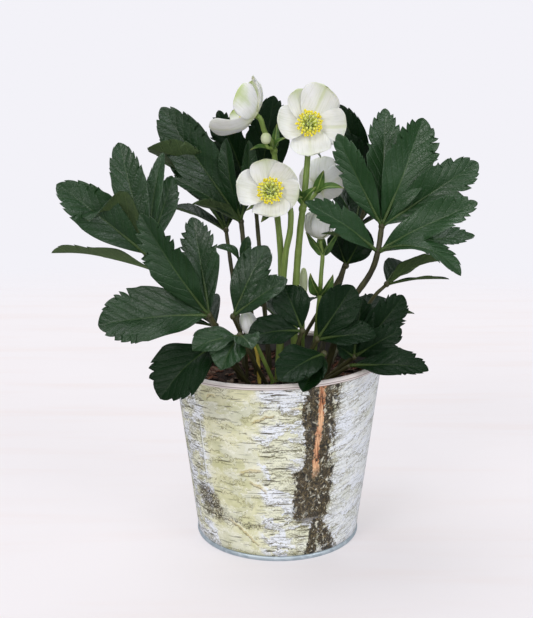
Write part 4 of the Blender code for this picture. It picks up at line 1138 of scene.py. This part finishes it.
def flower_stem(name, spec, number):
    """One flower stem with its side branches, its bracts, and a swelling where each of them leaves it."""
    chance = np.random.default_rng(SEED + 100 + number)
    stem, bracts = Surface(), Surface()
    top = top_points(spec.carries)
    route = np.vstack([stalk_route(spec.root, [*spec.points, *top[:-1]]), *top[-1:]])
    tube(stem, route, [spec.radius * 1.05, spec.radius, spec.radius * 0.8], ripple=0.03, sides=16)
    for item in spec.branches:
        top = top_points(item.carries)
        route = np.vstack([smooth_path([*item.points, *top[:-1]]), *top[-1:]])
        tube(stem, route, [item.radius, item.radius * 0.9], ripple=0.03)
        knob(stem, item.points[0], (spec.radius * 1.15, spec.radius * 1.15, spec.radius * 1.4))
    for item in (Bract(*row) for row in spec.bracts):
        blade(bracts, item, item.base, chance, BRACT_FOLD, outline=bract_width, wave=BRACT_WAVE)
    dried = name == "dried_stalk"
    stem.made(name + "_stalk", "dried" if dried else "stem", "dried_stalk" if dried else "green_stem", [name])
    if spec.bracts:
        bracts.made(name + "_bracts", "bract", "green_stem", [name])


def sepal(shape, spec, bloom, chance):
    """One sepal: an arc of the bloom's cup with a rolled and cupped cross-section, as closed rings.

    Along it, (r, h) = L/c (sin ct, 1 - cos ct) with c the curl; across it, h rises by the roll times s w,
    and the rims bend inward by the cup times w s squared. The rim waves, and the tip is drawn to a point.
    """
    curl, turn = bloom.curl, math.radians(spec.turn)
    out = np.array((math.cos(turn), math.sin(turn), 0.0))
    side = np.array((-math.sin(turn), math.cos(turn), 0.0))
    t = np.linspace(0, 1, PETAL_ROWS)[:, None] ** 0.85
    s, top = ROUND, TOP_SIDE
    half = np.maximum(spec.width / 2 * sepal_width(t), 0.35)
    phase = 6.3 * chance.random()
    frill = 0.05 * spec.width * np.abs(s) ** 3 * np.sin(9.5 * t + phase + 1.7 * np.sign(s)) * t
    crease = 0.35 * np.exp(-((s * half / 1.1) ** 2)) * (1 - t) ** 0.5
    body = PETAL_THICK / 2 * np.sqrt(np.maximum(0, 1 - s**8)) * top
    bend, lean = np.sin(curl * t), np.cos(curl * t)
    depth = PETAL_CUP * s * s * half + frill + body - crease
    reach = spec.length / curl * bend - depth * bend
    rise = spec.length / curl * (1 - lean) + PETAL_ROLL * s * half + depth * lean
    here = out * reach[..., None] + side * (s * half)[..., None] + np.array((0, 0, 1.0)) * rise[..., None]
    look = grid((top < 0) + 0 * t, chance.random(), spec.green)
    places = np.asarray(bloom.seat, float) + here @ bloom_frame(bloom)
    shape.rings(places, grid(s * half, spec.length * t, t), look)


def bloom_sepals(name, spec, number):
    """One bloom's sepals, and the receptacle that holds them."""
    chance = np.random.default_rng(SEED + 200 + number)
    petals = Surface()
    for row in spec.sepals:
        sepal(petals, Sepal(*row), spec, chance)
    axis = unit(spec.axis)
    line = [np.asarray(spec.seat) + axis * step for step in (-SEAT_BACK, 0.0, 1.0, SEAT_FRONT)]
    tube(petals, line, [2.2, SEAT_RADIUS * 0.9, SEAT_RADIUS * 0.8, 2.0], look=(0, 0.5, 1.0), sides=16)
    petals.made(name + "_petals", "sepal", "sepal", [name + "_sepals"])


def rods(foot, direction, bend, length, radii, sides):
    """Many slim rods at once: each starts at its foot, runs along its direction and bends by t squared.

    Gives the rods' tips and their rings.
    """
    t = np.linspace(0, 1, len(radii))[None, :, None]
    line = foot[:, None] + direction[:, None] * (length[:, None, None] * t) + bend[:, None] * t**2
    tangent = unit(np.gradient(line, axis=1))
    side = unit(np.cross(tangent, (0.31, 0.52, 0.79)))
    other = np.cross(side, tangent)
    angle = even_turns(sides)[None, None, :, None]
    ring = np.cos(angle) * side[:, :, None] + np.sin(angle) * other[:, :, None]
    return line[:, -1], line[:, :, None] + ring * np.asarray(radii, float)[None, :, None, None]


def spokes(angle):
    """Flat unit vectors at the given angles."""
    return grid(np.cos(angle), np.sin(angle), 0.0 * angle)


def bloom_middle(name, spec, number, count):
    """The stamens, nectaries and carpels of one open bloom."""
    chance = np.random.default_rng(SEED + 300 + number)
    frame = bloom_frame(spec)
    foot = np.asarray(spec.seat, float) + frame[2] * (SEAT_FRONT + SEAT_GAP)

    def organs(part, places, tones, slot="stamen"):
        shape = Surface()
        shape.batch(foot + places @ frame, np.zeros_like(places), np.broadcast_to(tones, places.shape))
        shape.made(f"{name}_{part}", part, slot, [f"{name}_{slot}s"])

    order = np.arange(count)
    out = spokes(order * GOLDEN_ANGLE + 0.2 * chance.random(count))
    share = np.sqrt((order + 0.5) / count)
    lean = np.radians(8 + 50 * share + 8 * (chance.random(count) - 0.5))[:, None]
    rise = np.array((0.0, 0.0, 1.0))
    direction = out * np.sin(lean) + rise * np.cos(lean)
    start = out * (1.4 + 1.7 * share)[:, None] + rise * 0.3
    length = 6.4 - 0.6 * share + 1.0 * (chance.random(count) - 0.5)
    bend = rise * (0.7 * share)[:, None]
    ends, places = rods(start, direction, bend, length, [0.30, 0.24, 0.22, 0.2, 0.16], 6)
    pale = np.clip(1.5 - 2.0 * share + 0.4 * (chance.random(count) - 0.5), 0, 1)
    tones = grid(0.0, pale, share)[:, None, None]
    organs("filaments", places, tones)
    swing = unit(direction + 0.5 * (chance.random((count, 3)) - 0.5))
    size = 2.3 - 0.4 * chance.random(count)
    _, heads = rods(ends - swing * 0.45, swing, 0 * ends, size, [0.2, 0.6, 0.86, 0.8, 0.84, 0.6, 0.2], 8)
    organs("anthers", heads, tones)

    # Nectaries: a ring of small green tubes outside the stamens
    out = spokes(even_turns(NECTARIES) + 0.2)
    girth = [0.3, 0.5, 0.72, 0.86, 0.8, 0.45]
    tilt = unit(out * 0.95 + rise * 0.75)
    _, places = rods(out * 2.7 + rise * 0.1, tilt, 0.5 * rise + 0 * out, np.full(NECTARIES, 3.4), girth, 8)
    organs("nectaries", places, (0.0, 0.2, 0.0))

    # Carpels: swollen ovaries that end in slender styles
    out = spokes(even_turns(CARPELS))
    girth = [0.7, 0.95, 0.9, 0.6, 0.42, 0.36, 0.32, 0.3, 0.34, 0.2]
    _, places = rods(out * 0.75, unit(rise + 0.12 * out), 0.6 * out, np.full(CARPELS, 8.6), girth, 8)
    organs("styles", places, (0.0, 0.3, 0.0), "carpel")


def bud(name, spec):
    """Five closed sepals wrapped round an egg, each laid over the next one's edge.

    At (t, s) a point lies at the sepal's own angle plus the spread times s plus t/4, at height
    -0.98 c cos(pi t), and out by the egg's radius times sin(pi t) to the power 0.8 and a swelling with s.
    """
    frame = bud_axes(spec)
    shape = Surface()
    t = np.linspace(0.02, 0.985, 20)[:, None]
    s, top = ROUND, TOP_SIDE
    wide, _, tall = spec.radii
    spread = 0.82 * np.minimum(1, 1.6 * np.sin(np.pi * t) ** 0.5)
    swell = 0.90 + 0.05 * s + 0.02 * np.cos(3 * s)
    out = np.sin(np.pi * t) ** 0.8 * swell * wide + 0.12 * np.sqrt(np.maximum(0, 1 - s**6)) * top
    out = np.maximum(out, 0.05)
    for k in range(5):
        angle = 2 * math.pi * k / 5 + spread * s + 0.25 * t
        here = grid(out * np.cos(angle), out * np.sin(angle), -tall * 0.98 * np.cos(np.pi * t))
        look = grid(1.0 * (top > 0) + 0 * t, 0.15 * k, 0.55)
        shape.rings(np.asarray(spec.middle, float) + here @ frame, grid(s * wide, tall * 2 * t, t), look)
    knob(shape, spec.middle, (wide * 0.82, wide * 0.82, tall * 0.9), look=(1, 0.3, 0.6))
    shape.made(name + "_petals", "sepal" if name == "bud_low" else "bud", "bud", [name])


def wall_radius(height):
    """The outside radius of the pot's wall at a height, in millimetres."""
    share = (height - HEM_HEIGHT) / (POT_HEIGHT - RIM_BEAD - HEM_HEIGHT)
    return WALL_FOOT_RADIUS + (WALL_TOP_RADIUS - WALL_FOOT_RADIUS) * share


def turned(profile):
    """A closed outline of (radius, height) round the Z axis: (radius sin a, -radius cos a, height)."""
    profile = np.asarray(profile, float)
    angle = even_turns(TURN_STEPS)[:, None]
    return grid(profile[:, 0] * np.sin(angle), -profile[:, 0] * np.cos(angle), profile[:, 1])


def pot():
    """The printed wall with its rolled rim, and the zinc base with its hem and recessed disc."""
    low, high = HEM_HEIGHT + SEAT_GAP, POT_HEIGHT - 2 * RIM_BEAD
    angle = np.radians(np.linspace(178, -92, 22))
    middle = wall_radius(high) + 0.3
    bead = grid(middle + RIM_BEAD * np.cos(angle), POT_HEIGHT - RIM_BEAD + RIM_BEAD * np.sin(angle))
    levels = np.linspace(high - 0.4, low, 30)
    outer = grid(wall_radius(levels), levels)
    places = turned(np.vstack([bead, outer, (outer - (WALL_THICK, 0))[::-1]]))
    places[..., 2] += RIM_RISE * places[..., 0] / RIM_RADIUS * np.maximum(places[..., 2] / POT_HEIGHT, 0) ** 3
    wall, base = Surface(), Surface()
    wall.wheel(places)
    wall.made("pot_wall_print", "bark", "birch_print", ["pot_wall"])
    ring = FOOT_RADIUS - HEM_THICK
    curve = np.radians(np.linspace(80, -90, 12))
    hem = grid(FOOT_RADIUS - 1.3 + 1.3 * np.cos(curve), HEM_HEIGHT / 2 + 1.8 * np.sin(curve))
    hem[:, 1] = np.clip(hem[:, 1], 0, HEM_HEIGHT)
    under = [(ring + 0.4, 0.0), (ring, 0.4), *((reach, DISC_RECESS) for reach in (ring, 40, 20, 0.4))]
    disc_top = DISC_RECESS + DISC_THICK
    floor = [(0.4, disc_top), (ring + 0.6, disc_top), (ring + 0.9, HEM_HEIGHT)]
    base.wheel(turned(np.vstack([hem, under, floor])))
    base.made("pot_base_hem", "zinc", "zinc", ["pot_base"])


def soil_height(x, y):
    """Lumps on the soil's top, in millimetres above SOIL_TOP."""
    return SOIL_RIPPLE * (np.sin(0.13 * x + 1.0) * np.cos(0.11 * y) - 0.4 * np.sin(0.21 * x - 0.17 * y))


def crumbs(x, y):
    """Fine unevenness of the soil: three crossed waves of ever shorter length."""
    low = np.sin(0.61 * x + 0.4 * y) * np.cos(0.53 * y - 0.2 * x)
    mid = np.sin(1.31 * x - 0.7 * y + 1.0) * np.cos(1.17 * y + 0.5 * x)
    high = np.sin(2.7 * x + 1.9 * y) * np.cos(2.3 * y - 2.1 * x)
    return 0.5 * low + 0.35 * mid + 0.25 * high


def soil():
    """The soil's plug with a crumbly top."""
    top_radius = wall_radius(SOIL_TOP) - WALL_THICK - SOIL_MARGIN
    low_radius = FOOT_RADIUS - HEM_THICK - SOIL_MARGIN
    angle = even_turns(SOIL_TURNS)[None]
    radius = np.linspace(0.4, top_radius, SOIL_ROWS)[:, None]
    x, y = radius * np.cos(angle), radius * np.sin(angle)
    fade = np.clip((top_radius - radius) / 4, 0, 1)
    top = grid(x, y, SOIL_TOP + soil_height(x, y) + fade * crumbs(x, y))
    foot = grid(low_radius * np.cos(angle), low_radius * np.sin(angle), SOIL_FLOOR)
    shape = Surface()
    shape.rings(np.concatenate([top, foot]), (0, 0, 0), (0, 0, 0))
    shape.made("soil_crumbs", "soil", "soil", ["soil"])


def soil_chips():
    """Bark chips that lie on the soil: ragged six-sided slivers, each turned and tipped its own way."""
    chance = np.random.default_rng(SEED + 500)

    def draw():
        return chance.random(SOIL_CHIPS)

    size = np.stack([1.2 + 3.6 * draw() ** 2, 0.8 + 1.6 * draw(), 0.25 + 0.5 * draw()])[..., None, None]
    reach = (wall_radius(SOIL_TOP) - WALL_THICK - SOIL_MARGIN - 3.5) * np.sqrt(draw())
    turn = 2 * np.pi * draw()
    x, y = reach * np.cos(turn), reach * np.sin(turn)
    middle = grid(x, y, SOIL_TOP + soil_height(x, y) + 0.6 + 0.9 * draw())
    spin, tip = 2 * np.pi * draw(), 0.9 * (draw() - 0.5)
    ahead = grid(np.cos(spin) * np.cos(tip), np.sin(spin) * np.cos(tip), np.sin(tip))
    aside = unit(np.cross(ahead, grid(0.4 * (draw() - 0.5), 0.4 * (draw() - 0.5), 1.0)))
    up = np.cross(aside, ahead)
    slices = np.array([-1.0, -0.55, 0.1, 0.6, 1.0])[None, :, None]
    taper = np.array([0.45, 0.9, 1.0, 0.85, 0.35])[None, :, None]
    ring = 2 * np.pi * np.arange(6) / 6 + 0.3
    ragged = 0.75 + 0.5 * chance.random((SOIL_CHIPS, 5, 6))
    along = slices * size[0] * (0.9 + 0.2 * ragged)
    wide = taper * np.cos(ring) * size[1] * ragged
    high = taper * np.sin(ring) * size[2] * ragged
    places = middle[:, None, None]
    for spread, way in ((along, ahead), (wide, aside), (high, up)):
        places = places + spread[..., None] * way[:, None, None]
    tones = grid(0.0, draw() ** 1.5, draw() > 0.75)[:, None, None].astype(float)
    chips = Surface()
    chips.batch(places, grid(wide, along, 0.0), np.broadcast_to(tones, places.shape))
    chips.made("soil_chips", "chip", "soil", ["soil"], smooth=False)


def stage():
    """A pale round floor, soft lights and a bright surround."""
    bpy.ops.mesh.primitive_circle_add(vertices=96, radius=FLOOR_RADIUS, fill_type="NGON")
    floor = bpy.context.active_object
    floor.name = "floor"
    floor.data.materials.append(floor_finish())
    # Out of reflections, in which it would veil the leaves
    floor.visible_glossy = False
    for name, direction, power, spread, colour in (
        ("top", (-0.25, 0.35, 1.0), 1.7, 0.8, (0.97, 0.985, 1.0)),
        ("left", (-0.7, -1.0, 0.8), 1.0, 0.45, (1.0, 0.985, 0.965)),
        ("front", (0.1, -1.0, 0.3), 0.55, 0.4, (1.0, 0.99, 0.98)),
        ("right", (0.95, -0.75, 0.6), 0.75, 0.5, (0.95, 0.98, 1.0)),
    ):
        light = bpy.data.lights.new(name, "SUN")
        light.energy = power
        light.angle = spread
        light.color = colour
        lamp = bpy.data.objects.new(name, light)
        bpy.context.scene.collection.objects.link(lamp)
        lamp.location = direction
        lamp.rotation_euler = Vector(direction).to_track_quat("Z", "Y").to_euler()
    world = bpy.data.worlds.new("surround")
    world.use_nodes = True
    nodes, links = world.node_tree.nodes, world.node_tree.links
    shown = nodes["Background"]
    shown.inputs["Color"].default_value = seen(243, 242, 248)
    lighting = nodes.new("ShaderNodeBackground")
    lighting.inputs["Color"].default_value = (0.93, 0.96, 1.0, 1.0)
    lighting.inputs["Strength"].default_value = WORLD_LIGHT
    path = nodes.new("ShaderNodeLightPath")
    blend = nodes.new("ShaderNodeMixShader")
    links.new(path.outputs["Is Camera Ray"], blend.inputs[0])
    links.new(lighting.outputs[0], blend.inputs[1])
    links.new(shown.outputs[0], blend.inputs[2])
    links.new(blend.outputs[0], nodes["World Output"].inputs["Surface"])
    bpy.context.scene.world = world
    bpy.context.scene.view_settings.view_transform = "Standard"


def camera():
    """The photograph's view: a long lens in front of the pot, a little above it, looking slightly down."""
    lens = bpy.data.cameras.new("camera")
    lens.lens = CAMERA_LENS
    lens.clip_start = 0.01
    eye = bpy.data.objects.new("camera", lens)
    bpy.context.scene.collection.objects.link(eye)
    eye.location = CAMERA_PLACE
    eye.rotation_euler = (math.pi / 2 - CAMERA_DOWN, 0, 0)
    bpy.context.scene.camera = eye


FINISHES = {
    "leaf": leaf_finish(),
    # The blade finish darkened with painted shade, and with less gloss, for the leaves low between the others
    "leaf with painted shade": leaf_finish("leaf blade with painted shade", 0.78, 0.16),
    "leaf stalk": streaked_finish("leaf stalk", (38, 34, 20), (82, 82, 42), (60, 34, 28)),
    "stem": streaked_finish("flower stem", (96, 122, 48), (142, 164, 84), (120, 80, 52), 0.35, 0.42),
    "dried": streaked_finish("dried stalk", (176, 150, 50), (214, 196, 92), (120, 84, 40), 0.6, 0.6),
    "bract": bract_finish(),
    "sepal": petal_finish(),
    "bud": petal_finish("bud sepal", 0.75),
    "anthers": grain_finish("anther", (244, 214, 30), (254, 238, 74), (216, 228, 128)),
    "filaments": grain_finish("filament", (220, 228, 120), (240, 244, 176), (216, 230, 130)),
    "nectaries": grain_finish("nectary", (206, 206, 50), (226, 220, 84), (176, 196, 66)),
    "styles": grain_finish("carpel", (206, 224, 124), (226, 238, 164), (234, 240, 190)),
    "bark": bark_finish(),
    "zinc": zinc_finish(),
    "soil": soil_finish(),
    "chip": chip_finish(),
}


def main():
    camera()
    stage()
    pot()
    soil()
    soil_chips()
    for build, table in ((leaf, LEAVES), (flower_stem, STEMS), (bloom_sepals, BLOOMS)):
        for number, (name, spec) in enumerate(table.items()):
            build(name, spec, number)
    for number, name in enumerate(OPEN_BLOOMS):
        bloom_middle(name, BLOOMS[name], number, SEEN_STAMENS if name in SEEN_INTO else OTHER_STAMENS)
    for name, spec in BUDS.items():
        bud(name, spec)


main()
